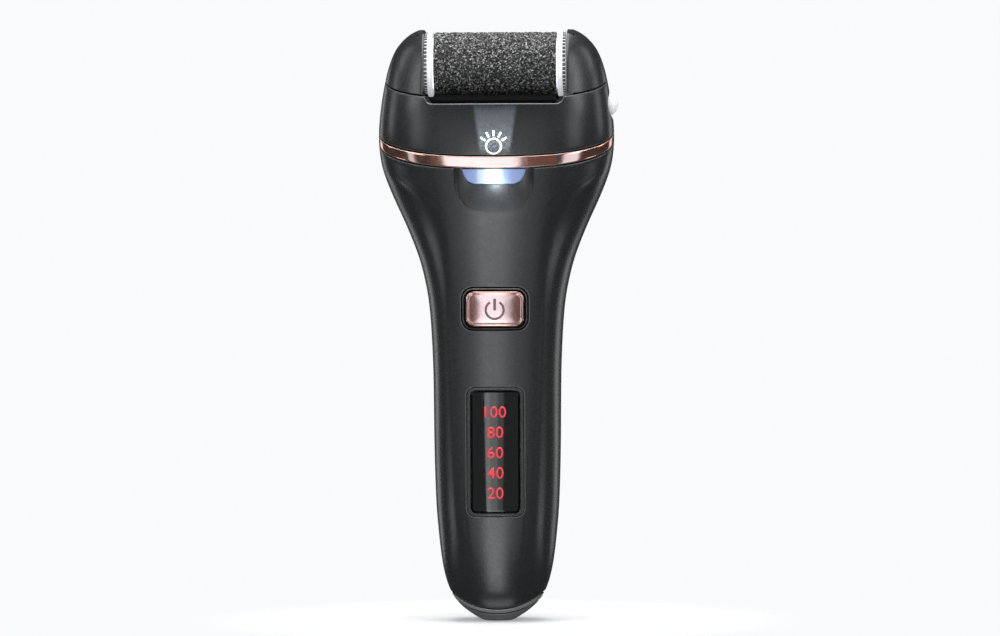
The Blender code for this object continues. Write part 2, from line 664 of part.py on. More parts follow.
# ---- motor ------------------------------------------------------------------------
motor_can = rod("motor_can", "x", MOTOR, (MOTOR_X0, MOTOR_X1), MOTOR_R, ((0.55, 0.56, 0.58), 0.3, 1.0), 28)
keep(motor_can, box("motor_can_flats", (-30, 30), (-20, 20), (MOTOR[1] - MOTOR_FLAT, MOTOR[1] + MOTOR_FLAT)))
cut(motor_can, rod("motor_can_hole", "x", MOTOR, (12.0, 20.0), SHAFT_R + 0.4, None, 12))
cut(
    motor_can,
    *(rod(f"motor_can_thread_{i}", "x", at, (14.5, 20.0), 1.25, None, 12) for i, at in enumerate(MOTOR_SCREWS)),
)
motor_end_bell = rod("motor_end_bell", "x", MOTOR, (MOTOR_X0 - 4.3, MOTOR_X0 - 0.3), MOTOR_R - 0.5, ((0.04, 0.04, 0.045), 0.5), 28)
keep(motor_end_bell, box("motor_bell_flats", (-30, 30), (-20, 20), (MOTOR[1] - MOTOR_FLAT + 0.4, MOTOR[1] + MOTOR_FLAT - 0.4)))
rod("motor_shaft", "x", MOTOR, (12.6, 27.0), SHAFT_R, (STEEL, 0.2, 1.0), 12)


def screw(name, axis, at, head, shank, head_r=1.9, shank_r=0.9):
    """A pan-head screw: head and shank are spans along its axis."""
    body = rod(name, axis, at, head, head_r, (STEEL, 0.3, 1.0), 12)
    join(body, rod(name + "_shank", axis, at, shank, shank_r, None, 8))
    return body


screw("motor_screw_front", "x", MOTOR_SCREWS[0], (20.5, 21.7), (14.9, 20.9))
screw("motor_screw_rear", "x", MOTOR_SCREWS[1], (20.5, 21.7), (14.9, 20.9))

# ---- roller release: button, slider, spring ------------------------------------------
turned(
    "release_button",
    [(0.0, 4.4), (1.1, 4.2), (2.1, 3.65), (2.85, 2.8), (3.3, 1.8), (RELEASE_R, 0.9), (RELEASE_R, 0.0), (0.0, 0.0)],
    (33.35, 0.0, RELEASE_Z),
    (WHITE, 0.25),
)
release_slider = rod("release_slider", "x", (0.0, RELEASE_Z), (26.2, 33.0), 1.0, (WHITE, 0.4), 12)
join(release_slider, box("slider_arm", (25.9, 26.9), (-5.4, 1.2), (157.9, 168.2)))
join(release_slider, box("slider_ramp", (25.2, 26.5), (-5.2, -2.8), (166.0, 169.7)))
coil = []
TURNS, PER_TURN = 4, 10
for n in range(TURNS * PER_TURN + 1):
    a = 2 * math.pi * n / PER_TURN
    coil.append((28.95 + 3.85 * n / (TURNS * PER_TURN), 1.75 * math.cos(a), RELEASE_Z + 1.75 * math.sin(a)))
wire("release_spring", coil, 0.22, (STEEL, 0.25, 1.0))

# ---- headlight under the band ---------------------------------------------------------
LIGHT_TOP, LIGHT_BOTTOM = 138.4, 134.3


def light_loop(grow):
    """A shallow trapezoid with rounded lower corners, in x and z."""
    top, low = LIGHT_TOP + grow, LIGHT_BOTTOM - grow
    half = []
    for x, z in ((9.8 + grow, top), (9.0 + grow, top - 2.2), (7.9 + grow, low + 0.8), (6.6 + grow, low)):
        half.append((x, z))
    return half + [(-x, z) for x, z in reversed(half)]


headlight_lens = outline("headlight_lens", "y", [light_loop(0.0)], (-24.0, -17.4), ((0.75, 0.85, 0.98), 0.05))
lens_limit = lofted("lens_limit", [125.0, 130.0, 135.0, 140.0, 145.0], 0.45)
keep(headlight_lens, lens_limit)
# the thumb-shaped scoop below the lens: a shallow bore leaning into the front
scoop = rod("scoop", "z", (0.0, 0.0), (-9.0, 16.0), 26.0, None, 64)
lean = math.radians(6.5)
scoop.rotation_euler = (-lean, 0.0, 0.0)
scoop.location = Vector((0.0, -20.0 - 26.0 * math.cos(lean), 125.6 + 26.0 * math.sin(lean))) * MM
light_boss = box("light_boss", (-13.0, 13.0), (-24.0, -16.2), (122.0, 145.0))
keep(light_boss, handle_outside, region("light_boss_region", 100.0, (BAND_LOW, -0.15)))
join(front_shell, light_boss)
cut(front_shell, scoop)
cut(front_shell, outline("light_window", "y", [light_loop(0.3)], (-30.0, -15.0)))
box("headlight_board", (-7.0, 7.0), (-15.6, -14.6), (133.6, 139.2), ((0.02, 0.20, 0.08), 0.4))
box("headlight_led", (-1.4, 1.4), (-16.9, -15.9), (135.0, 137.8), ((0.95, 0.93, 0.80), 0.3), 0.2)

# ---- power button -----------------------------------------------------------------
power_bezel = outline(
    "power_button_bezel",
    "y",
    [rounded(0, BUTTON_Z, 20.0, 12.7, 3.3), rounded(0, BUTTON_Z, BUTTON_W + 0.7, BUTTON_H + 0.7, 2.8)],
    (-17.25, -14.2),
    (CHARCOAL, 0.25),
)
cut(front_shell, outline("button_window", "y", [rounded(0, BUTTON_Z, 20.6, 13.3, 3.6)], (-30.0, -5.0)))
power_button = outline("power_button", "y", [rounded(0, BUTTON_Z, BUTTON_W, BUTTON_H, 2.5)], (-17.85, -14.4), (ROSE, 0.2, 1.0))
power_button.modifiers.new("edges", "BEVEL")
power_button.modifiers["edges"].width = 0.45 * MM
power_button.modifiers["edges"].segments = 1
join(power_button, box("power_button_stem", (-2.0, 2.0), (-14.6, -13.2), (BUTTON_Z - 2.0, BUTTON_Z + 2.0)))
outline(
    "button_gasket",
    "y",
    [rounded(0, BUTTON_Z, 22.0, 14.6, 3.5), rounded(0, BUTTON_Z, 14.0, 7.0, 2.0)],
    (-12.9, -12.3),
    ((0.05, 0.05, 0.055), 0.8),
)
tact_switch = box("tact_switch", (-3.0, 3.0), (-12.0, -10.5), (BUTTON_Z - 3.0, BUTTON_Z + 3.0), ((0.10, 0.10, 0.11), 0.4))
cut(tact_switch, rod("tact_switch_bore", "y", (0.0, BUTTON_Z), (-13.0, -9.0), 1.8))
rod("switch_plunger", "y", (0.0, BUTTON_Z), (-12.9, -11.3), 1.45, ((0.02, 0.02, 0.02), 0.5), 12)

# ---- display ------------------------------------------------------------------------
cut(front_shell, outline("display_window", "y", [rounded(0, DISPLAY_Z, FRAME_W + 0.6, FRAME_H + 0.6, 2.6)], (-30.0, -5.0)))
display_limit = lofted("display_limit", [28.0, 40.0, 52.0, 64.0, 78.0], 0.0)
display_frame = outline(
    "display_frame",
    "y",
    [rounded(0, DISPLAY_Z, FRAME_W, FRAME_H, 2.3), rounded(0, DISPLAY_Z, LENS_W + 0.6, LENS_H + 0.6, 1.8)],
    (-20.0, -14.3),
    ((0.10, 0.10, 0.105), 0.2),
)
keep(display_frame, display_limit)
display_lens = outline("display_lens", "y", [rounded(0, DISPLAY_Z, LENS_W, LENS_H, 1.5)], (-20.0, -14.9), (BLACK, 0.05))
keep(display_lens, lofted("display_lens_limit", [28.0, 40.0, 52.0, 64.0, 78.0], 0.35))
outline(
    "light_guide",
    "y",
    [rounded(0, DISPLAY_Z, 13.0, 36.0, 1.0, 1)] + [rounded(0, z, 8.0, 4.0, 0.6, 1) for z in DIGIT_Z],
    (-14.5, -10.6),
    (WHITE, 0.5),
)
for n, z in enumerate(DIGIT_Z):
    box(f"display_led_{n + 1}", (-1.5, 1.5), (-11.4, -10.5), (z - 0.8, z + 0.8), ((0.85, 0.12, 0.10), 0.3))

# ---- main board, chassis, cell --------------------------------------------------------
BOARD_SCREWS = ((-7.5, 80.0), (7.5, 80.0))
outline(
    "main_board",
    "y",
    [rounded(0, 67.0, 21.0, 76.0, 1.0, 1)] + [circle(x, z, 1.25, 8) for x, z in BOARD_SCREWS],
    (-10.2, -9.0),
    ((0.02, 0.22, 0.09), 0.4),
)
chassis = outline(
    "chassis",
    "y",
    [rounded(0, 64.0, 23.0, 88.0, 2.0, 1)] + [circle(x, z, 1.25, 8) for x, z in BOARD_SCREWS],
    (-8.6, -7.0),
    ((0.09, 0.09, 0.095), 0.5),
)
join(chassis, box("chassis_foot", (-9.0, 9.0), (-7.4, 9.0), (21.2, 22.8)))
join(chassis, box("chassis_top", (-9.0, 9.0), (-7.4, 9.0), (90.2, 91.8)))
rod("battery_cell", "z", (0.0, CELL_Y), (CELL_Z0, CELL_Z1), CELL_R, ((0.10, 0.26, 0.55), 0.35), 28)
box("battery_tab_top", (-3.0, 3.0), (-1.0, 7.0), (89.35, 89.85), (STEEL, 0.3, 1.0))
box("battery_tab_bottom", (-3.0, 3.0), (-1.0, 7.0), (23.15, 23.65), (STEEL, 0.3, 1.0))
screw("board_screw_left", "y", BOARD_SCREWS[0], (-11.7, -10.5), (-10.9, -6.4))
screw("board_screw_right", "y", BOARD_SCREWS[1], (-11.7, -10.5), (-10.9, -6.4))

# ---- charging inlet at the lower back -----------------------------------------------------
INLET_Z = 15.6
box("charging_board", (-7.0, 7.0), (-2.0, 10.2), (12.2, 13.2), ((0.02, 0.22, 0.09), 0.4))
charging_socket = outline("charging_socket", "y", [rounded(0, INLET_Z, 9.0, 3.4, 1.6, 3)], (7.6, 15.0), (STEEL, 0.25, 1.0))
cut(charging_socket, outline("charging_socket_mouth", "y", [rounded(0, INLET_Z, 8.3, 2.7, 1.3, 3)], (8.6, 16.0)))
cut(rear_shell, outline("inlet_window", "y", [rounded(0, INLET_Z, 9.8, 4.2, 2.0, 3)], (8.0, 30.0)))

# ---- motor leads, from the end bell down to the top of the main board -------------------------
for name, y, drop, x_end, rgb in (
    ("motor_lead_red", -3.0, 0.0, -4.0, (0.6, 0.03, 0.03)),
    ("motor_lead_black", 4.0, -2.5, -8.0, (0.02, 0.02, 0.02)),
):
    path = [
        (-16.9, y, MOTOR[1] - 1.0),
        (-19.2, y - 0.5, MOTOR[1] - 3.0),
        (-18.6, y - 2.5, 128.0 + drop),
        (-13.0, -7.0, 120.0 + 2 * drop),
        (x_end - 1.0, -9.6, 112.0 + drop),
        (x_end, -9.6, 105.5),
    ]
    wire(name, route(path, 14), 0.45, (rgb, 0.5))
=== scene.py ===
# Looks of the electric callus remover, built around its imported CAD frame.
# Everything is in the CAD's frame: +Z up the handle, -Y the front, +X the side
# with the release button. The tables below are the outer form's, in millimetres.
import math

import bmesh
import bpy
import numpy as np
from mathutils import Matrix, Vector


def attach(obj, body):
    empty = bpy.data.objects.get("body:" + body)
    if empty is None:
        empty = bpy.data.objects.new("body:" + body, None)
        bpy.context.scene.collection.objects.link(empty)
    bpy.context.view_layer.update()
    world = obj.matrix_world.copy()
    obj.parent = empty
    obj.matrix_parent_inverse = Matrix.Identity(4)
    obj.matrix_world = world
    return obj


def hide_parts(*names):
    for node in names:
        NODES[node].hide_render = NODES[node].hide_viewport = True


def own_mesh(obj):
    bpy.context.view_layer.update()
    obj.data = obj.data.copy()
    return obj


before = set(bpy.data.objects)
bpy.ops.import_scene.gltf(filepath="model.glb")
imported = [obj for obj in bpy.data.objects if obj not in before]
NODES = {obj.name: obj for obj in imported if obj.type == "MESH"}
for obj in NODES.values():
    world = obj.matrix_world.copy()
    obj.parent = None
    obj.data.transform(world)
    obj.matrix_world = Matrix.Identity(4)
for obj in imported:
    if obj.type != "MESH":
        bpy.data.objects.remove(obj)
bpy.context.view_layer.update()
MM = 0.001

# ---- outer form: height, half-width, depth of the front, depth of the back ------------
FORM = (
    (0.0, 4.6, 4.2, 4.2), (0.8, 5.9, 5.2, 5.2), (1.6, 7.2, 6.3, 6.3), (2.8, 9.0, 7.8, 7.9),
    (4.4, 11.0, 9.5, 9.7), (6.6, 13.0, 11.2, 11.5), (9.5, 14.7, 12.7, 13.1), (13.0, 16.0, 13.9, 14.4),
    (18.0, 17.1, 15.1, 15.7), (25.0, 18.0, 16.0, 16.8), (37.0, 19.0, 16.6, 17.4), (55.0, 19.5, 16.8, 17.5),
    (75.0, 19.7, 16.9, 17.3), (90.0, 20.3, 17.0, 17.2), (99.0, 21.1, 17.3, 17.4), (105.0, 22.2, 17.7, 17.7),
    (111.0, 23.7, 18.2, 18.1), (117.0, 25.9, 18.8, 18.6), (123.0, 28.4, 19.5, 19.2), (129.0, 31.2, 20.3, 20.0),
    (135.0, 33.7, 21.0, 20.8), (139.0, 35.1, 21.4, 21.2), (144.0, 36.0, 21.7, 21.6), (149.5, 36.3, 21.6, 21.9),
    (155.0, 35.9, 21.1, 21.8), (160.0, 35.3, 20.1, 21.1), (164.5, 34.5, 18.5, 19.9), (168.5, 33.7, 17.0, 18.7),
    (172.0, 32.7, 15.2, 17.2), (175.5, 31.1, 13.0, 15.3), (178.5, 28.8, 10.4, 13.0), (180.6, 26.3, 8.0, 10.7),
    (181.75, 24.0, 5.7, 8.3), (182.1, 22.9, 4.3, 6.8), (182.2, 22.2, 3.4, 5.8),
)
CREASE = (
    (0.0, 3.0), (12.0, 8.6), (25.0, 10.8), (47.0, 12.4), (73.0, 13.7), (92.0, 14.2), (108.0, 14.6), (119.0, 15.3),
    (125.0, 17.2), (129.5, 20.4), (133.5, 25.2), (137.0, 30.2), (140.0, 33.8), (145.0, 34.6), (183.0, 20.0),
)
SPREAD = (
    (0.0, 1.02), (20.0, 1.06), (45.0, 1.16), (90.0, 1.24), (112.0, 1.22), (122.0, 1.14), (131.0, 1.05),
    (138.0, 1.01), (141.0, 1.0), (183.0, 1.0),
)
FRONT_POWER, BACK_POWER, WALL = 2.5, 2.3, 2.0
BAND_LOW, BAND_HIGH, ARM_PLANE = (148.1, 0.43), (151.0, 0.38), (167.0, 0.34)
CAP_SEAM, RING_SEAM, SEAM_RISE = 2.4, 3.85, 0.024
LIP_Z, DECK_Z, ARM_X = 158.8, 168.0, 21.85
ROLLER_Y, ROLLER_Z = -4.0, 171.4
BUTTON_Z, DISPLAY_Z, RELEASE_Z = 96.2, 52.5, 158.7
DIGIT_Z = (39.9, 46.1, 52.3, 58.5, 64.7)


# ---- the form as functions --------------------------------------------------------------
STEP = 0.1
GRID = np.arange(0.0, 184.0 + STEP / 2, STEP)


def monotone(xs, ys, at):
    xs, ys = np.asarray(xs, float), np.asarray(ys, float)
    h = np.diff(xs)
    m = np.diff(ys) / h
    g = np.zeros(len(xs))
    g[0], g[-1] = m[0], m[-1]
    both = m[:-1] * m[1:] > 0
    g[1:-1][both] = (2 * m[:-1] * m[1:] / (m[:-1] + m[1:]))[both]
    at = np.clip(at, xs[0], xs[-1])
    i = np.clip(np.searchsorted(xs, at, side="right") - 1, 0, len(xs) - 2)
    t = (at - xs[i]) / h[i]
    return (1 + 2 * t) * (1 - t) ** 2 * ys[i] + t * (1 - t) ** 2 * h[i] * g[i] + t * t * (3 - 2 * t) * ys[i + 1] + t * t * (t - 1) * h[i] * g[i + 1]


def smoothed(values, sigma):
    n = int(4 * sigma / STEP)
    k = np.exp(-0.5 * (np.arange(-n, n + 1) * STEP / sigma) ** 2)
    padded = np.concatenate([2 * values[0] - values[n:0:-1], values, 2 * values[-1] - values[-2 : -n - 2 : -1]])
    return np.convolve(padded, k / k.sum(), mode="valid")


def ease(low, high, z):
    t = np.clip((np.asarray(z, float) - low) / (high - low), 0.0, 1.0)
    return t * t * (3 - 2 * t)


def column(table, c, sigma=2.2):
    raw = monotone([r[0] for r in table], [r[c] for r in table], GRID)
    soft = smoothed(raw, sigma)
    w = ease(8.0, 20.0, GRID) * (1 - ease(170.0, 177.0, GRID))
    return raw * (1 - w) + soft * w


HALF, FRONT, REAR = (column(FORM, c) for c in (1, 2, 3))
FOLD, WIDE = column(CREASE, 1, 1.6), column(SPREAD, 1, 2.5)
look = lambda table, z: np.interp(z, GRID, table)


def forward(x, z, inset=0.0):
    """How far the front surface stands towards -Y at |x|, z."""
    x = np.abs(x)
    a, f = look(HALF, z) - inset, look(FRONT, z) - inset
    plain = np.maximum(ease(134.0, 141.0, z), 1.0 - ease(14.0, 30.0, z))
    xc = np.minimum(look(FOLD, z) - 0.55 * inset, 0.93 * a)
    wide = a * look(WIDE, z)
    p = FRONT_POWER
    u0 = 0.34
    yc = (1 - (xc / wide) ** p) ** (1 / p)
    xx = np.minimum(x, a)
    full = np.maximum(1 - (xx / a) ** p, 0.0) ** (1 / p)
    panel = np.maximum(1 - (xx / wide) ** p, 0.0) ** (1 / p)
    u = np.minimum(u0 + (1 - u0) * (xx - xc) / (a - xc), 1.0)
    side = yc * np.sqrt(np.maximum(1 - u * u, 0.0)) / math.sqrt(1 - u0 * u0)
    soft = 0.30 / np.maximum(f, 1.0)
    near = np.abs(xx - xc) < 2.5
    h = np.where(near, np.maximum(soft - np.abs(panel - side), 0.0), 0.0)
    creased = np.where(xx <= xc, panel, side) - h * h / (4 * soft)
    return f * (plain * full + (1 - plain) * creased)


PANEL_N, FLANK_N, BACK_N = 34, 20, 40
SIDE_N = PANEL_N + FLANK_N


def ring(k, z, inset=0.0):
    """A point of the section at height z: k runs 0 (front middle) to SIDE_N (side) to SIDE_N + BACK_N (back middle).
    Negative k is the left-hand side."""
    k, z = np.broadcast_arrays(np.asarray(k, float), np.asarray(z, float))
    sign, k = np.where(k < 0, -1.0, 1.0), np.abs(k)
    a, f, r = look(HALF, z) - inset, look(FRONT, z) - inset, look(REAR, z) - inset
    plain = np.maximum(ease(134.0, 141.0, z), 1.0 - ease(14.0, 30.0, z))
    xc = np.minimum(look(FOLD, z) - 0.55 * inset, 0.93 * a)
    kf = np.clip(k, 0, SIDE_N)
    even = a * np.sin(kf / SIDE_N * math.pi / 2) ** (2 / FRONT_POWER)
    start = math.asin(0.34)
    t = np.clip((kf - PANEL_N) / FLANK_N, 0, 1)
    u = np.sin(start + (math.pi / 2 - start) * t)
    at = np.where(kf <= PANEL_N, xc * np.clip(kf / PANEL_N, 0, 1) ** 0.92, xc + (a - xc) * (u - 0.34) / 0.66)
    xf = plain * even + (1 - plain) * at
    yf = -forward(xf, z, inset)
    angle = np.clip((k - SIDE_N) / BACK_N, 0, 1) * math.pi / 2
    xb = a * np.cos(angle) ** (2 / BACK_POWER)
    yb = r * np.sin(angle) ** (2 / BACK_POWER)
    front = k <= SIDE_N
    return np.where(front, xf, xb) * sign, np.where(front, yf, yb)


def on_plane(k, plane, inset=0.0):
    """Heights at which the ring's points meet a sloping plane."""
    z = np.full(np.shape(k), plane[0], float)
    for _ in range(25):
        z = plane[0] + plane[1] * ring(k, z, inset)[1]
    return z


def on_seam(k, middle):
    """Heights at which the ring's points meet an end cap seam, which rises with x squared."""
    z = np.full(np.shape(k), 5.0, float)
    for _ in range(60):
        z = middle + SEAM_RISE * ring(k, z)[0] ** 2
    return z


# ---- mesh helpers ----------------------------------------------------------------------------
def shade(mesh, angle=30.0):
    mesh.shade_smooth()
    mesh.set_sharp_from_angle(angle=math.radians(angle))
    return mesh


def make(name, verts, faces, angle=30.0, look_=None, marks=(), mark_look=None):
    """A mesh object from millimetre points, with its faces turned outwards; marked faces take a second material."""
    bm = bmesh.new()
    vs = [bm.verts.new(v) for v in verts]
    marks = set(marks)
    for at, f in enumerate(faces):
        if len(set(f)) > 2:
            try:
                bm.faces.new([vs[i] for i in f]).material_index = 1 if at in marks else 0
            except ValueError:
                pass
    bmesh.ops.remove_doubles(bm, verts=bm.verts, dist=1e-4)
    bmesh.ops.scale(bm, vec=(MM, MM, MM), verts=bm.verts)
    bmesh.ops.recalc_face_normals(bm, faces=bm.faces)
    mesh = bpy.data.meshes.new(name)
    bm.to_mesh(mesh)
    bm.free()
    shade(mesh, angle)
    ob = bpy.data.objects.new(name, mesh)
    bpy.context.scene.collection.objects.link(ob)
    if look_:
        mesh.materials.append(look_)
        if marks:
            mesh.materials.append(mark_look)
    return ob


def apply(ob):
    """Turns an object's modifiers into its mesh."""
    bpy.context.view_layer.update()
    dg = bpy.context.evaluated_depsgraph_get()
    mesh = bpy.data.meshes.new_from_object(ob.evaluated_get(dg))
    mats = list(ob.data.materials)
    ob.modifiers.clear()
    old = ob.data
    ob.data = mesh
    mesh.name = ob.name
    if not len(mesh.materials):
        for m in mats:
            mesh.materials.append(m)
    bpy.data.meshes.remove(old)
    return ob


def boolean(ob, operation, *others, solver="EXACT", paint="INDEX"):
    for other in others:
        mod = ob.modifiers.new("b", "BOOLEAN")
        mod.operation, mod.object, mod.solver, mod.material_mode = operation, other, solver, paint
    apply(ob)
    for other in others:
        bpy.data.objects.remove(other, do_unlink=True)
    return ob


def carry_normals(ob, source, tolerance=2e-5, angle=0.94):
    """After a cut, the skin keeps the shading of the uncut surface (source: a BVH of it with its corner normals)."""
    from mathutils.bvhtree import BVHTree

    src = source
    src.calc_loop_triangles()
    tree = BVHTree.FromPolygons([v.co for v in src.vertices], [t.vertices for t in src.loop_triangles])
    tris = src.loop_triangles
    corner = np.zeros(len(src.loops) * 3, np.float32)
    src.corner_normals.foreach_get("vector", corner)
    corner = corner.reshape(-1, 3)
    mesh = ob.data
    normals = [None] * len(mesh.loops)
    base = np.zeros(len(mesh.loops) * 3, np.float32)
    mesh.corner_normals.foreach_get("vector", base)
    base = base.reshape(-1, 3)
    cache = {}
    from mathutils.geometry import barycentric_transform

    for poly in mesh.polygons:
        for li in poly.loop_indices:
            vi = mesh.loops[li].vertex_index
            if vi not in cache:
                co = mesh.vertices[vi].co
                hit, nrm, index, dist = tree.find_nearest(co)
                if dist is None or dist > tolerance:
                    cache[vi] = None
                else:
                    t = tris[index]
                    a, b, c = (src.vertices[i].co for i in t.vertices)
                    na, nb, nc = (Vector(corner[i]) for i in t.loops)
                    n = barycentric_transform(hit, a, b, c, na, nb, nc)
                    cache[vi] = n.normalized() if n.length > 0.1 else None
            n = cache[vi]
            if n is not None and n.dot(poly.normal) > angle:
                normals[li] = n
            else:
                normals[li] = Vector(base[li])
    mesh.normals_split_custom_set(normals)
    return ob


def grid_faces(rows, cols, offset=0, closed=False, flip=False):
    out = []
    for i in range(rows - 1):
        for j in range(cols if closed else cols - 1):
            a, b = offset + i * cols + j, offset + i * cols + (j + 1) % cols
            c, d = b + cols, a + cols
            out.append((d, c, b, a) if flip else (a, b, c, d))
    return out


EDGE = (0.0, 0.05, 0.18, 0.42, 0.72, 1.0)  # where the rows of a rounded edge lie, as shares of its radius


def sink(d, radius):
    """How deep a quarter-round edge lies at distance d from it."""
    d = np.clip(d, 0.0, radius)
    return radius - np.sqrt(np.maximum(radius * radius - (radius - d) ** 2, 0.0))


def heights(low, high, r_low, r_high, pitch):
    """Row heights between two rims, one column each: fine rows over the rounded edges, even rows between."""
    lows = [low + r_low * e for e in EDGE]
    highs = [high - r_high * e for e in EDGE[::-1]]
    n = max(int(np.max(high - low) / pitch), 1)
    a, b = lows[-1], highs[0]
    mid = [a + (b - a) * i / n for i in range(1, n)]
    return np.array(lows + mid + highs)


def shell(name, ks, low, high, wall=WALL, r_low=0.35, r_high=0.35, pitch=1.1, closed=True, r_side=0.0, clamp=None, look_=None, edge_highlight_look=None):
    """A piece of the outer form between two rims, as a closed wall with rounded edges."""
    ks = np.asarray(ks, float)
    z = heights(low, high, r_low, r_high, pitch)
    depth = np.maximum(sink(z - low, r_low) if r_low else 0.0, sink(high - z, r_high) if r_high else 0.0)
    kk = np.broadcast_to(ks, z.shape)
    if r_side:
        x0, y0 = ring(kk, z)
        along = np.minimum(np.abs(y0 - y0[:, :1]), np.abs(y0 - y0[:, -1:]))
        depth = np.maximum(depth, sink(along, r_side))

    def skin(inset):
        x, y = ring(kk, z, inset)
        if clamp is not None:
            y = clamp(y)
        return np.stack([x, y, z], -1)

    outer, inner = skin(depth), skin(np.maximum(wall, depth + 0.05))
    rows, cols = z.shape
    verts = np.concatenate([outer.reshape(-1, 3), inner.reshape(-1, 3)])
    n = rows * cols
    faces = grid_faces(rows, cols, 0, closed) + grid_faces(rows, cols, n, closed, True)
    across = cols if closed else cols - 1
    # the rows over the top and bottom rounded edges take the second, lighter material: painted highlight
    marks = [i * across + j for i in (2, 3, rows - 5, rows - 4) for j in range(across)] if edge_highlight_look else ()
    for j in range(cols if closed else cols - 1):
        b = (j + 1) % cols
        faces.append((j, n + j, n + b, b))
        faces.append((n - cols + j, n - cols + b, 2 * n - cols + b, 2 * n - cols + j))
    if not closed:
        for i in range(rows - 1):
            for c, turn in ((0, False), (cols - 1, True)):
                q = (i * cols + c, (i + 1) * cols + c, n + (i + 1) * cols + c, n + i * cols + c)
                faces.append(q if turn else q[::-1])
    return make(name, verts, faces, 34.0, look_, marks, edge_highlight_look)


def rounded_loop(u, v, width, height, radius, steps=8):
    points = []
    radius = max(radius, 0.02)
    for cu, cv, start in ((1, -1, -90), (1, 1, 0), (-1, 1, 90), (-1, -1, 180)):
        for i in range(steps + 1):
            a = math.radians(start + 90.0 * i / steps)
            points.append((u + cu * (width / 2 - radius) + radius * math.cos(a), v + cv * (height / 2 - radius) + radius * math.sin(a)))
    return points


def dense(loop, pitch):
    """More points along the long straight sides of a loop."""
    out = []
    for (ax, az), (bx, bz) in zip(loop, loop[1:] + loop[:1]):
        n = max(int(math.hypot(bx - ax, bz - az) / pitch), 1)
        out += [(ax + (bx - ax) * i / n, az + (bz - az) * i / n) for i in range(n)]
    return out


def plate(name, loops, depths, back, look_=None, angle=34.0, surface=None, cap=True):
    """A plate that follows the front: loops from its edge inwards, each with how deep it lies below the surface
    (depth may be a function of x and z), and a flat back at y = back."""
    surface = surface or (lambda x, z: forward(x, z))
    verts, n = [], len(loops[0])
    for loop, d in zip(loops, depths):
        pts = np.array(loop)
        dd = d(pts[:, 0], pts[:, 1]) if callable(d) else d
        y = -(surface(pts[:, 0], pts[:, 1]) - dd)
        verts += [(x, yy, z) for (x, z), yy in zip(loop, y)]
    faces = grid_faces(len(loops), n, 0, True)
    if cap:
        faces.append(tuple(range((len(loops) - 1) * n, len(loops) * n)))
    base = len(verts)
    verts += [(x, back, z) for x, z in loops[0]]
    for j in range(n):
        b = (j + 1) % n
        faces.append((j, b, base + b, base + j))
    faces.append(tuple(range(base, base + n))[::-1])
    return make(name, verts, faces, angle, look_)


def hoop(name, outer, inner, profile, back, look_=None, angle=34.0, surface=None):
    """A frame that follows the front: its section is (share of the width from outside to inside, depth) points."""
    surface = surface or (lambda x, z: forward(x, z))
    verts, n = [], len(outer)
    o, i = np.array(outer), np.array(inner)
    for share, depth in profile:
        pts = o * (1 - share) + i * share
        y = -(surface(pts[:, 0], pts[:, 1]) - depth)
        verts += [(x, yy, z) for (x, z), yy in zip(pts, y)]
    rows = len(profile)
    for pts in (i, o):
        verts += [(x, back, z) for x, z in pts]
    faces = []
    total = rows + 2
    for r in range(total):
        s = (r + 1) % total
        for j in range(n):
            b = (j + 1) % n
            faces.append((r * n + j, r * n + b, s * n + b, s * n + j))
    return make(name, verts, faces, angle, look_)


def prism(name, axis, loop, span, look_=None):
    """A flat outline extruded along an axis."""
    order = {"x": lambda u, v, w: (w, u, v), "y": lambda u, v, w: (u, w, v), "z": lambda u, v, w: (u, v, w)}[axis]
    n = len(loop)
    verts = [order(u, v, span[0]) for u, v in loop] + [order(u, v, span[1]) for u, v in loop]
    faces = [tuple(range(n)), tuple(range(n, 2 * n))[::-1]] + [(j, (j + 1) % n, n + (j + 1) % n, n + j) for j in range(n)]
    return make(name, verts, faces, 30.0, look_)


def turned(name, profile, centre, look_=None, sides=96, angle=30.0, axis="x"):
    """A closed profile of (radius, distance along the axis) turned about it."""
    verts, faces, n = [], [], len(profile)
    for s in range(sides):
        a = 2 * math.pi * s / sides
        for r, h in profile:
            p = {"x": (h, r * math.cos(a), r * math.sin(a)), "y": (r * math.cos(a), h, r * math.sin(a)), "z": (r * math.cos(a), r * math.sin(a), h)}[axis]
            verts.append((centre[0] + p[0], centre[1] + p[1], centre[2] + p[2]))
    closed = profile[0] != profile[-1] and not (profile[0][0] == 0 and profile[-1][0] == 0)
    for s in range(sides):
        t = (s + 1) % sides
        for i in range(n if closed else n - 1):
            j = (i + 1) % n
            faces.append((s * n + i, s * n + j, t * n + j, t * n + i))
    return make(name, verts, faces, angle, look_)


def fillet(profile, radii, steps=4):
    """Rounds the corners of a closed polyline."""
    out, n = [], len(profile)
    for i in range(n):
        p, a, b = (Vector(profile[k % n]).to_2d() for k in (i, i - 1, i + 1))
        r = radii[i] if isinstance(radii, (list, tuple)) else radii
        if r <= 0:
            out.append(tuple(p))
            continue
        da, db = (a - p).normalized(), (b - p).normalized()
        half = math.acos(max(-1, min(1, da.dot(db)))) / 2
        reach = min(r / math.tan(half), 0.49 * (a - p).length, 0.49 * (b - p).length)
        p0, p1 = p + da * reach, p + db * reach
        for s in range(steps + 1):
            t = s / steps
            out.append(tuple((1 - t) ** 2 * p0 + 2 * t * (1 - t) * p + t * t * p1))
    return out


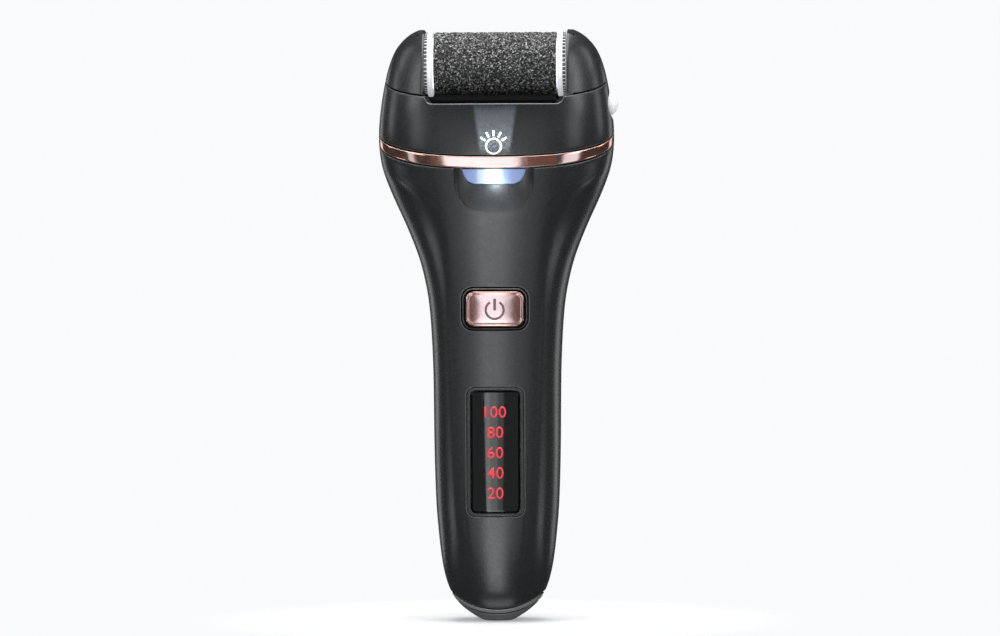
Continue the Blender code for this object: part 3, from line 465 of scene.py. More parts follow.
# ---- materials -------------------------------------------------------------------------------
class Look:
    """A node material: a Principled shader with texture read in the object's own coordinates."""

    def __init__(self, name, base, rough, metal=0.0, specular=0.5):
        self.mat = bpy.data.materials.new(name)
        self.mat.use_nodes = True
        self.tree = self.mat.node_tree
        self.bsdf = self.tree.nodes["Principled BSDF"]
        self.set("Base Color", (*base, 1.0))
        self.set("Roughness", rough)
        self.set("Metallic", metal)
        self.set("Specular IOR Level", specular)
        self.base, self.rough = base, rough
        self.mat.diffuse_color = (*base, 1.0)
        self.coords = self.node("ShaderNodeTexCoord").outputs["Object"]
        self.height = None

    def set(self, name, value):
        self.bsdf.inputs[name].default_value = value
        return self

    def node(self, kind, **props):
        n = self.tree.nodes.new(kind)
        for k, v in props.items():
            setattr(n, k, v)
        return n

    def link(self, a, b):
        self.tree.links.new(a, b)

    def noise(self, size_mm, detail=3.0, rough=0.55, stretch=(1, 1, 1)):
        m = self.node("ShaderNodeMapping")
        m.inputs["Scale"].default_value = tuple(1000.0 / size_mm * s for s in stretch)
        self.link(self.coords, m.inputs["Vector"])
        n = self.node("ShaderNodeTexNoise")
        n.inputs["Scale"].default_value = 1.0
        n.inputs["Detail"].default_value = detail
        n.inputs["Roughness"].default_value = rough
        self.link(m.outputs[0], n.inputs["Vector"])
        return n.outputs["Fac"]

    def cells(self, size_mm, feature="F1", output="Color"):
        m = self.node("ShaderNodeMapping")
        m.inputs["Scale"].default_value = (1000.0 / size_mm,) * 3
        self.link(self.coords, m.inputs["Vector"])
        n = self.node("ShaderNodeTexVoronoi", feature=feature)
        n.inputs["Scale"].default_value = 1.0
        self.link(m.outputs[0], n.inputs["Vector"])
        return n.outputs[output]

    def ramp(self, fac, *stops):
        r = self.node("ShaderNodeValToRGB")
        while len(r.color_ramp.elements) < len(stops):
            r.color_ramp.elements.new(0.5)
        for e, (p, c) in zip(r.color_ramp.elements, stops):
            e.position = p
            e.color = (*c, 1.0) if isinstance(c, tuple) else (c, c, c, 1.0)
        self.link(fac, r.inputs["Fac"])
        return r.outputs["Color"]

    def span(self, fac, low, high, from_low=0.3, from_high=0.7):
        r = self.node("ShaderNodeMapRange")
        for name, v in (("From Min", from_low), ("From Max", from_high), ("To Min", low), ("To Max", high)):
            r.inputs[name].default_value = v
        self.link(fac, r.inputs["Value"])
        return r.outputs["Result"]

    def tint(self, fac, dark, light):
        low = tuple(c * dark for c in self.base)
        high = tuple(min(c * light, 1.0) for c in self.base)
        self.link(self.ramp(fac, (0.32, low), (0.68, high)), self.bsdf.inputs["Base Color"])
        return self

    def roughen(self, fac, low, high):
        self.link(self.span(fac, low, high), self.bsdf.inputs["Roughness"])
        return self

    def bump(self, fac, strength, distance_mm):
        b = self.node("ShaderNodeBump")
        b.inputs["Strength"].default_value = strength
        b.inputs["Distance"].default_value = distance_mm * MM
        self.link(fac, b.inputs["Height"])
        if self.height is not None:
            self.link(self.height, b.inputs["Normal"])
        self.height = b.outputs["Normal"]
        self.link(self.height, self.bsdf.inputs["Normal"])
        return self


def satin_plastic(name, base, rough=0.36, grain=0.10):
    k = Look(name, base, rough)
    k.tint(k.noise(2.6, 5.0), 0.93, 1.07)
    k.roughen(k.noise(0.9, 4.0), rough - 0.03, rough + 0.04)
    k.bump(k.noise(0.16, 3.0, 0.6), grain, 0.006)
    return k.mat


def gloss_plastic(name, base, rough=0.10, coat=0.3, specular=0.5):
    k = Look(name, base, rough, 0.0, specular)
    k.tint(k.noise(5.0, 3.0), 0.94, 1.06)
    k.roughen(k.noise(1.6, 4.0), max(rough - 0.03, 0.02), rough + 0.04)
    k.bump(k.noise(0.7, 2.0), 0.05, 0.004)
    k.set("Coat Weight", coat).set("Coat Roughness", 0.05)
    return k.mat


def metal(name, base, rough=0.22, stretch=(1, 1, 1), size=0.5, bump=0.08):
    k = Look(name, base, rough, 1.0)
    k.tint(k.noise(3.0, 4.0), 0.94, 1.06)
    k.roughen(k.noise(size, 4.0, 0.6, stretch), max(rough - 0.05, 0.03), rough + 0.08)
    k.bump(k.noise(size * 0.5, 2.0, 0.5, stretch), bump, 0.003)
    return k.mat


CHARCOAL = satin_plastic("charcoal_satin", (0.0240, 0.0256, 0.0282), 0.27, 0.035)
# a lighter charcoal for the rows over rounded edges and window mouths: painted highlight along the edges
CHARCOAL_EDGE_HIGHLIGHT = satin_plastic("charcoal_edge_painted_highlight", (0.105, 0.108, 0.113), 0.30, 0.03)
CAP_MAT = gloss_plastic("end_cap_gloss", (0.150, 0.154, 0.162), 0.20)
RING_MAT = gloss_plastic("end_ring_gloss", (0.266, 0.275, 0.294), 0.16)
BLACK = gloss_plastic("black_gloss", (0.006, 0.006, 0.0065), 0.07)
TROUGH = satin_plastic("cradle_black", (0.0022, 0.0022, 0.0025), 0.30, 0.02)
TROUGH.node_tree.nodes["Principled BSDF"].inputs["Specular IOR Level"].default_value = 0.01
GLASS = gloss_plastic("window_black", (0.003, 0.003, 0.0035), 0.05, 0.0, 0.24)
BEZEL = gloss_plastic("bezel_dark", (0.022, 0.021, 0.022), 0.16)
FRAME_MAT = satin_plastic("display_surround", (0.080, 0.082, 0.086), 0.26, 0.02)
WHITE_GLOWING = gloss_plastic("roller_white_painted_glow", (0.88, 0.885, 0.895), 0.28)
# the white plastic glows a little: painted light that keeps the rims bright white
WHITE_GLOWING.node_tree.nodes["Principled BSDF"].inputs["Emission Color"].default_value = (0.95, 0.96, 1.0, 1.0)
WHITE_GLOWING.node_tree.nodes["Principled BSDF"].inputs["Emission Strength"].default_value = 0.44
# a darker grey without glow for the tooth roots and flanks: painted shade between the gear teeth
TOOTH_GAP_SHADE = satin_plastic("tooth_gap_painted_shade", (0.20, 0.205, 0.21), 0.45)
NYLON = satin_plastic("gear_nylon", (0.80, 0.78, 0.72), 0.38)
STEEL = metal("bright_steel", (0.66, 0.67, 0.69), 0.20, (0.2, 1, 1))
PLATED = metal("plated_can", (0.56, 0.57, 0.60), 0.32, (1, 1, 1), 1.2)
BRASS = metal("turned_brass", (0.80, 0.60, 0.30), 0.22)
RUBBER = satin_plastic("seal_rubber", (0.022, 0.022, 0.023), 0.72, 0.35)
INNER = satin_plastic("inner_moulding", (0.035, 0.036, 0.038), 0.48, 0.2)


def rose(name, rough, base=(0.86, 0.545, 0.43)):
    k = Look(name, base, rough, 1.0)
    k.tint(k.noise(4.0, 3.0), 0.95, 1.04)
    k.roughen(k.noise(0.35, 3.0, 0.6, (1, 1, 0.25)), max(rough - 0.03, 0.03), rough + 0.05)
    k.bump(k.noise(0.22, 2.0, 0.5, (1, 1, 0.2)), 0.05, 0.002)
    return k.mat


ROSE_BAND = rose("rose_gold_polished", 0.12, (0.82, 0.45, 0.35))
# the band's rounded edges: a rougher finish, and a lighter tint that is a painted highlight
ROSE_EDGE_HIGHLIGHT = rose("rose_gold_edge_painted_highlight", 0.42, (0.88, 0.60, 0.51))
ROSE_BUTTON = rose("rose_gold_satin", 0.17, (0.84, 0.48, 0.40))

grit = Look("abrasive_grit", (0.03, 0.03, 0.032), 0.42)
speck = grit.ramp(grit.cells(0.36), (0.0, 0.006), (0.42, 0.013), (0.60, 0.05), (0.75, 0.20), (0.88, 0.62), (1.0, 0.90))
grit.link(speck, grit.bsdf.inputs["Base Color"])
grit.roughen(grit.noise(0.3, 3.0), 0.22, 0.60)
grit.bump(grit.noise(0.09, 3.0, 0.7), 0.5, 0.03)
GRIT = grit.mat

dome = Look("release_translucent_painted_glow", (0.90, 0.905, 0.92), 0.16)
dome.tint(dome.noise(3.0, 3.0), 0.97, 1.02)
dome.roughen(dome.noise(1.0, 3.0), 0.12, 0.2)
# a faint glow on the release cap: painted light that keeps it bright white; the subsurface below is real translucency
dome.set("Emission Color", (0.95, 0.96, 1.0, 1.0)).set("Emission Strength", 0.30)
dome.set("Subsurface Weight", 0.35).set("Subsurface Radius", (0.004, 0.004, 0.004)).set("Subsurface Scale", 1.0)
DOME = dome.mat

board = Look("circuit_board", (0.012, 0.16, 0.07), 0.30)
board.tint(board.cells(1.7, "F1"), 0.7, 1.25)
board.roughen(board.noise(0.6, 3.0), 0.22, 0.42)
board.bump(board.cells(1.1, "DISTANCE_TO_EDGE", "Distance"), 0.25, 0.03)
BOARD = board.mat

wrap = Look("cell_wrap", (0.06, 0.20, 0.48), 0.28)
wrap.tint(wrap.noise(6.0, 3.0), 0.92, 1.06)
wrap.roughen(wrap.noise(2.2, 4.0), 0.22, 0.36)
wrap.bump(wrap.noise(3.0, 3.0), 0.12, 0.05)
WRAP = wrap.mat

LEAD_RED = satin_plastic("lead_red", (0.55, 0.025, 0.02), 0.42)
LEAD_BLACK = satin_plastic("lead_black", (0.018, 0.018, 0.019), 0.45)
GUIDE = satin_plastic("light_guide_white", (0.78, 0.79, 0.80), 0.45)


def glowing(name, colour, strength, rough=0.3, spots=0.9):
    k = Look(name, colour, rough)
    k.tint(k.noise(0.8, 3.0), spots, 1.0)
    k.roughen(k.noise(0.5, 3.0), rough - 0.05, rough + 0.08)
    k.set("Emission Color", (*colour, 1.0)).set("Emission Strength", strength)
    return k.mat


DIGIT = glowing("digit_red", (0.83, 0.035, 0.05), 0.60)
LED_RED = glowing("led_red", (0.85, 0.06, 0.04), 1.2)
LED_WHITE = glowing("led_white", (0.93, 0.96, 1.0), 3.0)
# the printed mark is given a faint glow: painted light on the print
ICON = glowing("printed_icon_painted_glow", (0.78, 0.83, 0.88), 0.25, 0.45)
SYMBOL = metal("symbol_groove", (0.26, 0.175, 0.155), 0.38)

# the lit lens: brightest over the LED in the middle, bluish towards its ends
lens = Look("headlight_glass", (0.30, 0.40, 0.62), 0.06)
lens.set("Transmission Weight", 0.35).set("IOR", 1.46).set("Coat Weight", 0.4).set("Coat Roughness", 0.03)
lens.roughen(lens.noise(1.2, 3.0), 0.04, 0.12)
lens.bump(lens.noise(1.4, 2.0, 0.5, (1, 1, 0.3)), 0.10, 0.02)
_sep = lens.node("ShaderNodeSeparateXYZ")
lens.link(lens.coords, _sep.inputs[0])
_abs = lens.node("ShaderNodeMath", operation="ABSOLUTE")
lens.link(_sep.outputs["X"], _abs.inputs[0])
_glow = lens.span(_abs.outputs[0], 1.0, 0.0, 0.0, 0.0100)
lens.link(lens.ramp(_glow, (0.0, (0.15, 0.20, 0.36)), (0.40, (0.22, 0.29, 0.50)), (0.66, (0.32, 0.44, 0.68)), (0.84, (0.93, 0.97, 1.0))), lens.bsdf.inputs["Emission Color"])
lens.link(lens.ramp(_glow, (0.0, 0.45), (0.45, 0.50), (0.68, 0.64), (0.86, 0.95)), lens.bsdf.inputs["Emission Strength"])
LENS = lens.mat


def dress(ob, body, slot, *nodes):
    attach(ob, body)
    if nodes:
        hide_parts(*nodes)
    return ob


def repaint(node, mat):
    ob = NODES[node]
    ob.data.materials.clear()
    ob.data.materials.append(mat)


# ---- handle --------------------------------------------------------------------------------------
FULL_RING = np.concatenate([np.arange(0, SIDE_N + BACK_N + 1), -np.arange(SIDE_N + BACK_N - 1, 0, -1)]).astype(float)
ENDS = SIDE_N - np.array([0.0, 0.03, 0.09, 0.18, 0.32, 0.55])
front_ks = np.concatenate([-ENDS, np.arange(-SIDE_N + 1, SIDE_N), ENDS[::-1]])
rear_ends = SIDE_N + np.array([0.0, 0.03, 0.09, 0.18, 0.32, 0.55])
rear_right = np.concatenate([rear_ends, np.arange(SIDE_N + 1, SIDE_N + BACK_N + 1)])
rear_ks = np.concatenate([rear_right, -rear_right[-2::-1]])


def lifted(plane, shift):
    return (plane[0] + shift, plane[1])


def plane_rows(ks, low, high):
    return on_plane(ks, low), on_plane(ks, high)


low, high = on_seam(front_ks, RING_SEAM + 0.15), on_plane(front_ks, lifted(BAND_LOW, -0.15))
front_shell = shell("front_casing", front_ks, low, high, r_low=0.55, r_high=0.45, pitch=1.0, closed=False, r_side=0.3, clamp=lambda y: np.minimum(y, -0.15), look_=CHARCOAL, edge_highlight_look=CHARCOAL_EDGE_HIGHLIGHT)
front_whole = front_shell.data.copy()


def projected_cutter(name, loop_at, depths, back=-6.0, lip=()):
    """A cutter whose mouth flares over the front surface: loop_at(grow) gives the outline, depths (grow, depth)."""
    loops = [loop_at(g) for g, _ in depths]
    verts, n = [(x, -32.0, z) for x, z in loops[0]], len(loops[0])
    for loop, (_, d) in zip(loops, depths):
        pts = np.array(loop)
        y = -(forward(pts[:, 0], pts[:, 1]) - d)
        verts += [(x, yy, z) for (x, z), yy in zip(loop, y)]
    base = len(verts)
    verts += [(x, back, z) for x, z in loops[-1]]
    total = len(loops) + 2
    faces = [tuple(range(n)), tuple(range(base, base + n))[::-1]]
    for r in range(total - 1):
        for j in range(n):
            b = (j + 1) % n
            faces.append((r * n + j, r * n + b, (r + 1) * n + b, (r + 1) * n + j))
    # the mouth's lip rows carry the lighter edge material onto the cut: painted highlight round the opening
    marks = [2 + r * n + j for r in lip for j in range(n)]
    return make(name, verts, faces, 30.0, CHARCOAL, marks, CHARCOAL_EDGE_HIGHLIGHT)


ROUND_MOUTH = lambda r: [(r + 0.9, -0.9), (r, 0.0)] + [(r - r * math.sin(a), r - r * math.cos(a)) for a in (math.radians(25), math.radians(50), math.radians(72))] + [(0.0, r)]

front_cuts = []
front_cuts.append(projected_cutter("button_mouth", lambda g: dense(rounded_loop(0, BUTTON_Z, 20.6 + 2 * g, 13.3 + 2 * g, 3.6 + g, 10), 0.8), ROUND_MOUTH(0.35), lip=(2, 3, 4)))
front_cuts.append(projected_cutter("display_mouth", lambda g: dense(rounded_loop(0, DISPLAY_Z, 17.6 + 2 * g, 39.7 + 2 * g, 2.6 + g, 10), 0.8), ROUND_MOUTH(0.30), lip=(2, 3, 4)))


def light_loop(grow, steps=6, extra=0.0):
    top, lowest = 138.75 + grow + extra, 134.3 - grow
    half = [(9.8 + grow, top), (9.1 + grow, top - 2.0), (7.9 + grow * 0.8, lowest + 0.7), (6.2 + grow * 0.5, lowest)]
    pts = half + [(-x, z) for x, z in reversed(half)]
    return fillet(pts, [0.25, 0.6, 1.0, 1.6, 1.6, 1.0, 0.6, 0.25], steps)


# the thumb-shaped scoop below the headlight: nearly upright sides, a broad round bottom, deeper towards the lens
def scoop_loop():
    half = []
    for t in np.linspace(0.0, math.pi / 2, 40):
        c, d = abs(math.cos(t)) ** (2 / 2.7), abs(math.sin(t)) ** (2 / 2.7)
        half.append((12.2 * d, 137.0 - 11.4 * c))
    half += [(12.2 + 0.15 * u, 137.0 + 3.4 * u) for u in (0.3, 0.6, 1.0)]
    top = [(12.35 - 24.7 * u, 140.4) for u in np.linspace(0.04, 0.96, 24)]
    return half + top + [(-x, z) for x, z in half[:0:-1]]


def scoop_cutter():
    loop = np.array(scoop_loop())
    centre = np.array([0.0, 135.5])
    rows = []
    for s in (1.06, 1.02, 1.0, 0.99, 0.975, 0.95, 0.92, 0.88, 0.83, 0.77, 0.7, 0.6, 0.5, 0.4, 0.3, 0.2, 0.1, 0.02):
        pts = centre + (loop - centre) * s
        rise = ease(123.5, 137.5, pts[:, 1])
        if s > 1.0:
            depth = np.full(len(pts), -(s - 1.0) * 25.0)
        else:
            depth = 1.7 * rise * (1.0 - s**6.0) ** (1 / 1.7) + 0.04 * (1 - s)
        rows.append(np.stack([pts[:, 0], -(forward(pts[:, 0], pts[:, 1]) - depth), pts[:, 1]], -1))
    n = len(loop)
    front = rows[0].copy()
    front[:, 1] = -30.0
    rows.insert(0, front)
    faces = grid_faces(len(rows), n, 0, True) + [tuple(range(n)), tuple(range((len(rows) - 1) * n, len(rows) * n))[::-1]]
    return make("scoop", np.concatenate(rows), faces)


scoop = scoop_cutter()

# the thick wall behind the scoop and the headlight, kept inside the outer skin
boss_x = np.linspace(-13.0, 13.0, 53)
boss_z = np.linspace(121.5, 141.0, 40)
verts, nb = [], len(boss_x)
for z in boss_z:
    for x in boss_x:
        verts.append((x, -(float(forward(x, z)) - 0.9), z))
for z in boss_z:
    for x in boss_x:
        verts.append((x, -16.2, z))
rows_b = len(boss_z)
faces = grid_faces(rows_b, nb) + grid_faces(rows_b, nb, rows_b * nb, flip=True)
for i in range(rows_b - 1):
    for c in (0, nb - 1):
        faces.append((i * nb + c, (i + 1) * nb + c, (rows_b + i + 1) * nb + c, (rows_b + i) * nb + c))
for j in range(nb - 1):
    for r in (0, rows_b - 1):
        faces.append((r * nb + j, r * nb + j + 1, (rows_b + r) * nb + j + 1, (rows_b + r) * nb + j))
boss = make("light_boss", verts, faces)
boolean(front_shell, "UNION", boss)
light_mouth = projected_cutter("light_mouth", lambda g: light_loop(0.28 + g, 6, 2.0), [(0.0, -6.0), (0.0, 9.0)], -12.0)
scoop.data.materials.append(CHARCOAL)
boolean(front_shell, "DIFFERENCE", scoop, *front_cuts, light_mouth, paint="TRANSFER")
shade(front_shell.data, 32.0)
carry_normals(front_shell, front_whole)
dress(front_shell, "casing", "charcoal_plastic", "front_shell")

low, high = on_seam(rear_ks, RING_SEAM + 0.15), on_plane(rear_ks, lifted(BAND_LOW, -0.15))
rear_shell = shell("rear_casing", rear_ks, low, high, r_low=0.55, r_high=0.45, pitch=1.0, closed=False, r_side=0.3, clamp=lambda y: np.maximum(y, 0.15), look_=CHARCOAL, edge_highlight_look=CHARCOAL_EDGE_HIGHLIGHT)
rear_whole = rear_shell.data.copy()
inlet = prism("inlet_cut", "y", rounded_loop(0, 15.6, 9.8, 4.2, 2.05, 10), (8.0, 30.0))
inlet_flare = []
for grow, depth in ((0.9, -0.9), (0.35, 0.0), (0.12, 0.10), (0.0, 0.35)):
    loop = rounded_loop(0, 15.6, 9.8 + 2 * grow, 4.2 + 2 * grow, 2.05 + grow, 10)
    pts = np.array(loop)
    a, r = look(HALF, pts[:, 1]), look(REAR, pts[:, 1])
    y = r * (1 - (np.abs(pts[:, 0]) / a) ** BACK_POWER) ** (1 / BACK_POWER) - depth
    inlet_flare.append([(x, yy, z) for (x, z), yy in zip(loop, y)])
n = len(inlet_flare[0])
verts = [v for loop in inlet_flare for v in loop]
faces = grid_faces(len(inlet_flare), n, 0, True) + [tuple(range(n))[::-1], tuple(range(3 * n, 4 * n))]
flare = make("inlet_flare", verts, faces)
boolean(rear_shell, "DIFFERENCE", inlet, flare)
shade(rear_shell.data, 32.0)
carry_normals(rear_shell, rear_whole)
dress(rear_shell, "casing", "charcoal_plastic", "rear_shell")

# the lip inside the parting line, fixed in the rear shell, which closes the line to light
lip_low = float(on_seam(np.array([float(SIDE_N)]), RING_SEAM + 0.15)[0]) + 0.4
lip_high = float(on_plane(np.array([float(SIDE_N)]), lifted(BAND_LOW, -0.15))[0]) - 0.4
for side in (-1.0, 1.0):
    z = np.linspace(lip_low, lip_high, 90)
    x = look(HALF, z) - WALL - 0.02
    verts = [(side * (xx - dx), y, zz) for xx, zz in zip(x, z) for dx, y in ((0.0, -0.9), (0.0, 0.9), (1.0, 0.9), (1.0, -0.9))]
    faces = grid_faces(len(z), 4, 0, True) + [(0, 1, 2, 3), tuple(range(4 * len(z) - 4, 4 * len(z)))]
    dress(make("parting_lip_left" if side < 0 else "parting_lip_right", verts, faces, 30.0, CHARCOAL), "casing", "charcoal_plastic")

low, high = on_seam(FULL_RING, CAP_SEAM + 0.15), on_seam(FULL_RING, RING_SEAM - 0.15)
ring_piece = shell("end_ring", FULL_RING, low, high, wall=2.5, r_low=0.2, r_high=0.25, pitch=0.35, look_=RING_MAT)
dress(ring_piece, "casing", "trim_silver", "bottom_ring")

cap_z = heights(np.zeros(len(FULL_RING)), on_seam(FULL_RING, CAP_SEAM - 0.15), 0.7, 0.3, 0.3)
cap_x, cap_y = ring(np.broadcast_to(FULL_RING, cap_z.shape), cap_z, np.maximum(1.6 * sink(cap_z, 0.7), sink(cap_z[-1] - cap_z, 0.3)))
cap_rows = list(np.stack([cap_x, cap_y, cap_z], -1))
for share in (0.86, 0.7, 0.5, 0.3, 0.12):  # its upper face, level with the seam
    x, y = cap_x[-1] * share, cap_y[-1] * share
    cap_rows.append(np.stack([x, y, CAP_SEAM - 0.15 + SEAM_RISE * x * x], -1))
n = len(FULL_RING)
faces = grid_faces(len(cap_rows), n, 0, True) + [tuple(range(n))[::-1], tuple(range((len(cap_rows) - 1) * n, len(cap_rows) * n))]
cap_piece = make("end_cap", np.concatenate(cap_rows), faces, 34.0, CAP_MAT)
dress(cap_piece, "casing", "charcoal_plastic", "bottom_cap")

low, high = plane_rows(FULL_RING, lifted(BAND_LOW, 0.15), lifted(BAND_HIGH, -0.15))
band = shell("accent_ring", FULL_RING, low, high, wall=1.6, r_low=0.42, r_high=0.42, pitch=0.4, look_=ROSE_BAND, edge_highlight_look=ROSE_EDGE_HIGHLIGHT)
dress(band, "casing", "rose_gold_metal", "accent_band")

# ---- head -------------------------------------------------------------------------------------------
def head_ring():
    """Ring steps with extra columns where the trough's lip turns up to the arm covers."""
    base = list(np.arange(0, SIDE_N + BACK_N + 1).astype(float))
    ks = np.linspace(0, SIDE_N + BACK_N, 4000)
    x, y = ring(ks, np.full(4000, 161.0))
    front = ks <= SIDE_N
    lo, hi = (np.interp(v, x[front], ks[front]) for v in (18.6, 22.4))
    marks = [18.6, 18.8, 18.95] + [18.95 + 2.35 * math.sin(math.radians(d)) for d in (8, 16, 24, 32, 40, 47, 54, 60, 66, 71, 76, 80, 84, 87, 89)]
    marks += [21.31, 21.34, 21.4, 21.5, 21.65, 21.8, 21.84, 21.95, 22.1, 22.4]
    extra = [float(np.interp(v, x[front], ks[front])) for v in marks]
    back = ~front
    lo_b, hi_b = (np.interp(v, x[back][::-1], ks[back][::-1]) for v in (22.6, 20.6))
    extra += list(np.linspace(lo_b, hi_b, 20))
    base = [k for k in base if not (lo < k < hi or lo_b < k < hi_b)] + extra
    base = sorted(base)
    return np.array(base + [-k for k in base[-2:0:-1]])


head_ks = head_ring()


def smoothstep_up(x, low, high):
    return ease(low, high, x)


head_low = on_plane(head_ks, lifted(BAND_HIGH, 0.15))


def rim_height(ks):
    z = np.full(len(ks), 160.0)
    for _ in range(30):
        x, y = ring(ks, z)
        arm = ARM_PLANE[0] - 0.15 + ARM_PLANE[1] * y
        ax = np.abs(x)
        t = np.clip((ax - 18.95) / 2.35, 0.0, 1.0)
        curve = LIP_Z + 2.35 * (1.0 - np.sqrt(np.maximum(1.0 - t * t, 0.0)))
        front = np.where(ax > 21.3, arm, np.minimum(curve, arm))
        tb = ease(21.2, 21.8, ax)
        back = DECK_Z + (arm - DECK_Z) * tb
        middle = np.where(y < 0, front, back)
        z = 0.5 * z + 0.5 * np.where(ax > 21.8, arm, middle)
    return z


head_high = rim_height(head_ks)
head = shell("head_casing", head_ks, head_low, head_high, wall=WALL, r_low=0.4, r_high=0.5, pitch=0.9, look_=CHARCOAL, edge_highlight_look=CHARCOAL_EDGE_HIGHLIGHT)
head_whole = head.data.copy()
dish_profile = [(0.0, -7.0)] + [(7.0 * math.sin(a), -7.0 * math.cos(a)) for a in np.linspace(0.05, math.pi / 2, 40)] + [(7.0, 6.0), (0.0, 6.0)]
dish = turned("dish", dish_profile, (41.1, 0.0, RELEASE_Z + 0.1), sides=128)
for v in dish.data.vertices:
    v.co.y *= 2.8
hole = turned("hole", [(0.0, 26.0), (3.8, 26.0), (3.8, 33.7), (3.95, 34.0), (4.6, 34.6), (5.0, 46.0), (0.0, 46.0)], (0, 0, RELEASE_Z), sides=96)
boolean(head, "DIFFERENCE", dish, hole)
shade(head.data, 32.0)
carry_normals(head, head_whole)
dress(head, "casing", "charcoal_plastic", "head_housing")


def arm_solid(name, side, inset, x_min, z_low, r_edge, pitch=0.55, cols=72, look_=None):
    """The form beyond x_min as a closed solid; z_low gives the floor's height for a y."""
    top = 182.2 - inset * 1.1
    rows = []
    levels = [0.0] + [r_edge * e for e in EDGE[1:]] if r_edge else [0.0]
    start, end = 0.0, 1.0
    steps = int((top - 160.0) / pitch)
    param = np.linspace(0, 1, steps)
    param = param ** 0.9
    shares = np.concatenate([np.linspace(0, 1, cols)])
    if r_edge:
        fine = np.array([0.0, 0.004, 0.010, 0.019, 0.032, 0.048])
        shares = np.concatenate([fine, np.linspace(0.065, 0.935, cols - 12), 1 - fine[::-1]])
    kk = np.linspace(0, SIDE_N + BACK_N, 1600)

    def arc(z_of_y, inset_of):
        """Points along the form at x >= x_min with heights from z_of_y; the inner corner at the top is round."""
        t = min(max((z_of_y(0.0) - (top - 1.1)) / 1.1, 0.0), 1.0) if r_edge else 0.0
        x_lim = x_min + 1.1 * (1.0 - math.sqrt(1.0 - t * t))
        z = np.full(len(kk), 170.0)
        for _ in range(12):
            x, y = ring(kk, z, inset_of)
            z = z_of_y(y)
        x, y = ring(kk, z, inset_of)
        inside = np.nonzero(x >= x_lim)[0]
        if len(inside) < 4:
            return None, None
        i0, i1 = inside[0], inside[-1]
        px, py, pz = list(x[i0 : i1 + 1]), list(y[i0 : i1 + 1]), list(z[i0 : i1 + 1])
        for end_i, nxt, where in ((i0, i0 - 1, 0), (i1, i1 + 1, len(px))):
            if 0 <= nxt < len(kk):
                t = (x_lim - x[end_i]) / (x[nxt] - x[end_i])
                p = (x_lim, y[end_i] + t * (y[nxt] - y[end_i]), z[end_i] + t * (z[nxt] - z[end_i]))
                if where == 0:
                    px.insert(0, p[0]), py.insert(0, p[1]), pz.insert(0, p[2])
                else:
                    px.append(p[0]), py.append(p[1]), pz.append(p[2])
        pts = np.array([px, py, pz]).T
        length = np.concatenate([[0], np.cumsum(np.linalg.norm(np.diff(pts, axis=0), axis=1))])
        return pts, length

    for p in list((r_edge * np.array(EDGE[:-1]) / (top - 160.0)) if r_edge else []) + list(param):
        z_of_y = lambda y, p=p: z_low(y) + (top - z_low(y)) * min(p, 1.0)
        pts, length = arc(z_of_y, inset)
        if pts is None:
            continue
        rise = (top - 160.0) * p
        want = shares * length[-1]
        flat = np.stack([np.interp(want, length, pts[:, c]) for c in range(3)], -1)
        if r_edge:
            d_side = np.minimum(want, length[-1] - want)
            depth = np.maximum(sink(d_side, r_edge), sink(np.full(len(want), rise), r_edge * 0.6))
            shallow = np.linspace(0.0, r_edge, 7)
            stack = []
            for s in shallow:
                q, ql = arc(z_of_y, inset + s)
                if q is None:
                    stack.append(stack[-1])
                    continue
                w = shares * ql[-1]
                stack.append(np.stack([np.interp(w, ql, q[:, c]) for c in range(3)], -1))
            stack = np.array(stack)
            f = depth / r_edge * 6
            i = np.clip(f.astype(int), 0, 5)
            t = (f - i)[:, None]
            cols_i = np.arange(len(want))
            flat = stack[i, cols_i] * (1 - t) + stack[i + 1, cols_i] * t
        rows.append(flat)
    rows = sorted(rows, key=lambda r: r[len(r) // 2][2])
    arr = np.array(rows)
    arr[:, :, 0] *= side
    n_rows, n_cols = arr.shape[:2]
    verts = arr.reshape(-1, 3)
    faces = grid_faces(n_rows, n_cols)
    # faces over the rounded edges take the lighter edge material: painted highlight
    marks = [i * (n_cols - 1) + j for i in range(n_rows - 1) for j in range(n_cols - 1) if i in (1, 2, 3) or j in (1, n_cols - 3)] if r_edge else ()
    for i in range(n_rows - 1):
        faces.append((i * n_cols, (i + 1) * n_cols, (i + 1) * n_cols + n_cols - 1, i * n_cols + n_cols - 1))
    faces.append(tuple(range(n_cols)))
    faces.append(tuple(range((n_rows - 1) * n_cols, n_rows * n_cols)))
    return make(name, verts, faces, 34.0, look_, marks, CHARCOAL_EDGE_HIGHLIGHT)


def arm_piece(name, side, node):
    floor = lambda y: ARM_PLANE[0] + 0.15 + ARM_PLANE[1] * y
    arm = arm_solid(name, side, 0.0, ARM_X, floor, 0.55, look_=CHARCOAL)
    whole = arm.data.copy()
    hollow = arm_solid(name + "_hollow", side, 1.8, ARM_X + 1.5, lambda y: floor(y) - 4.0, 0.0, 0.9, 48)
    x = sorted((side * (ARM_X - 1.0), side * 24.2))
    notch = prism(name + "_slot", "x", rounded_loop(ROLLER_Y, 180.1, 2.7, 20.0, 1.33, 10), x)
    boolean(arm, "DIFFERENCE", hollow, notch)
    shade(arm.data, 32.0)
    carry_normals(arm, whole)
    return dress(arm, "casing", "charcoal_plastic", node)


arm_piece("arm_cover_left", -1, "left_arm_cover")
arm_piece("arm_cover_right", 1, "right_arm_cover")

# ---- trough liner -----------------------------------------------------------------------------------
def form_solid(name, inset, low, high, pitch=0.8):
    """The form drawn inwards, as a plain solid between two heights."""
    levels = np.linspace(low, high, int((high - low) / pitch) + 1)
    rows = []
    for z in levels:
        x, y = ring(FULL_RING, np.full(len(FULL_RING), z), inset)
        rows.append(np.stack([x, y, np.full(len(x), z)], -1))
    n = len(FULL_RING)
    faces = grid_faces(len(rows), n, 0, True) + [tuple(range(n))[::-1], tuple(range((len(rows) - 1) * n, len(rows) * n))]
    return make(name, np.concatenate(rows), faces)


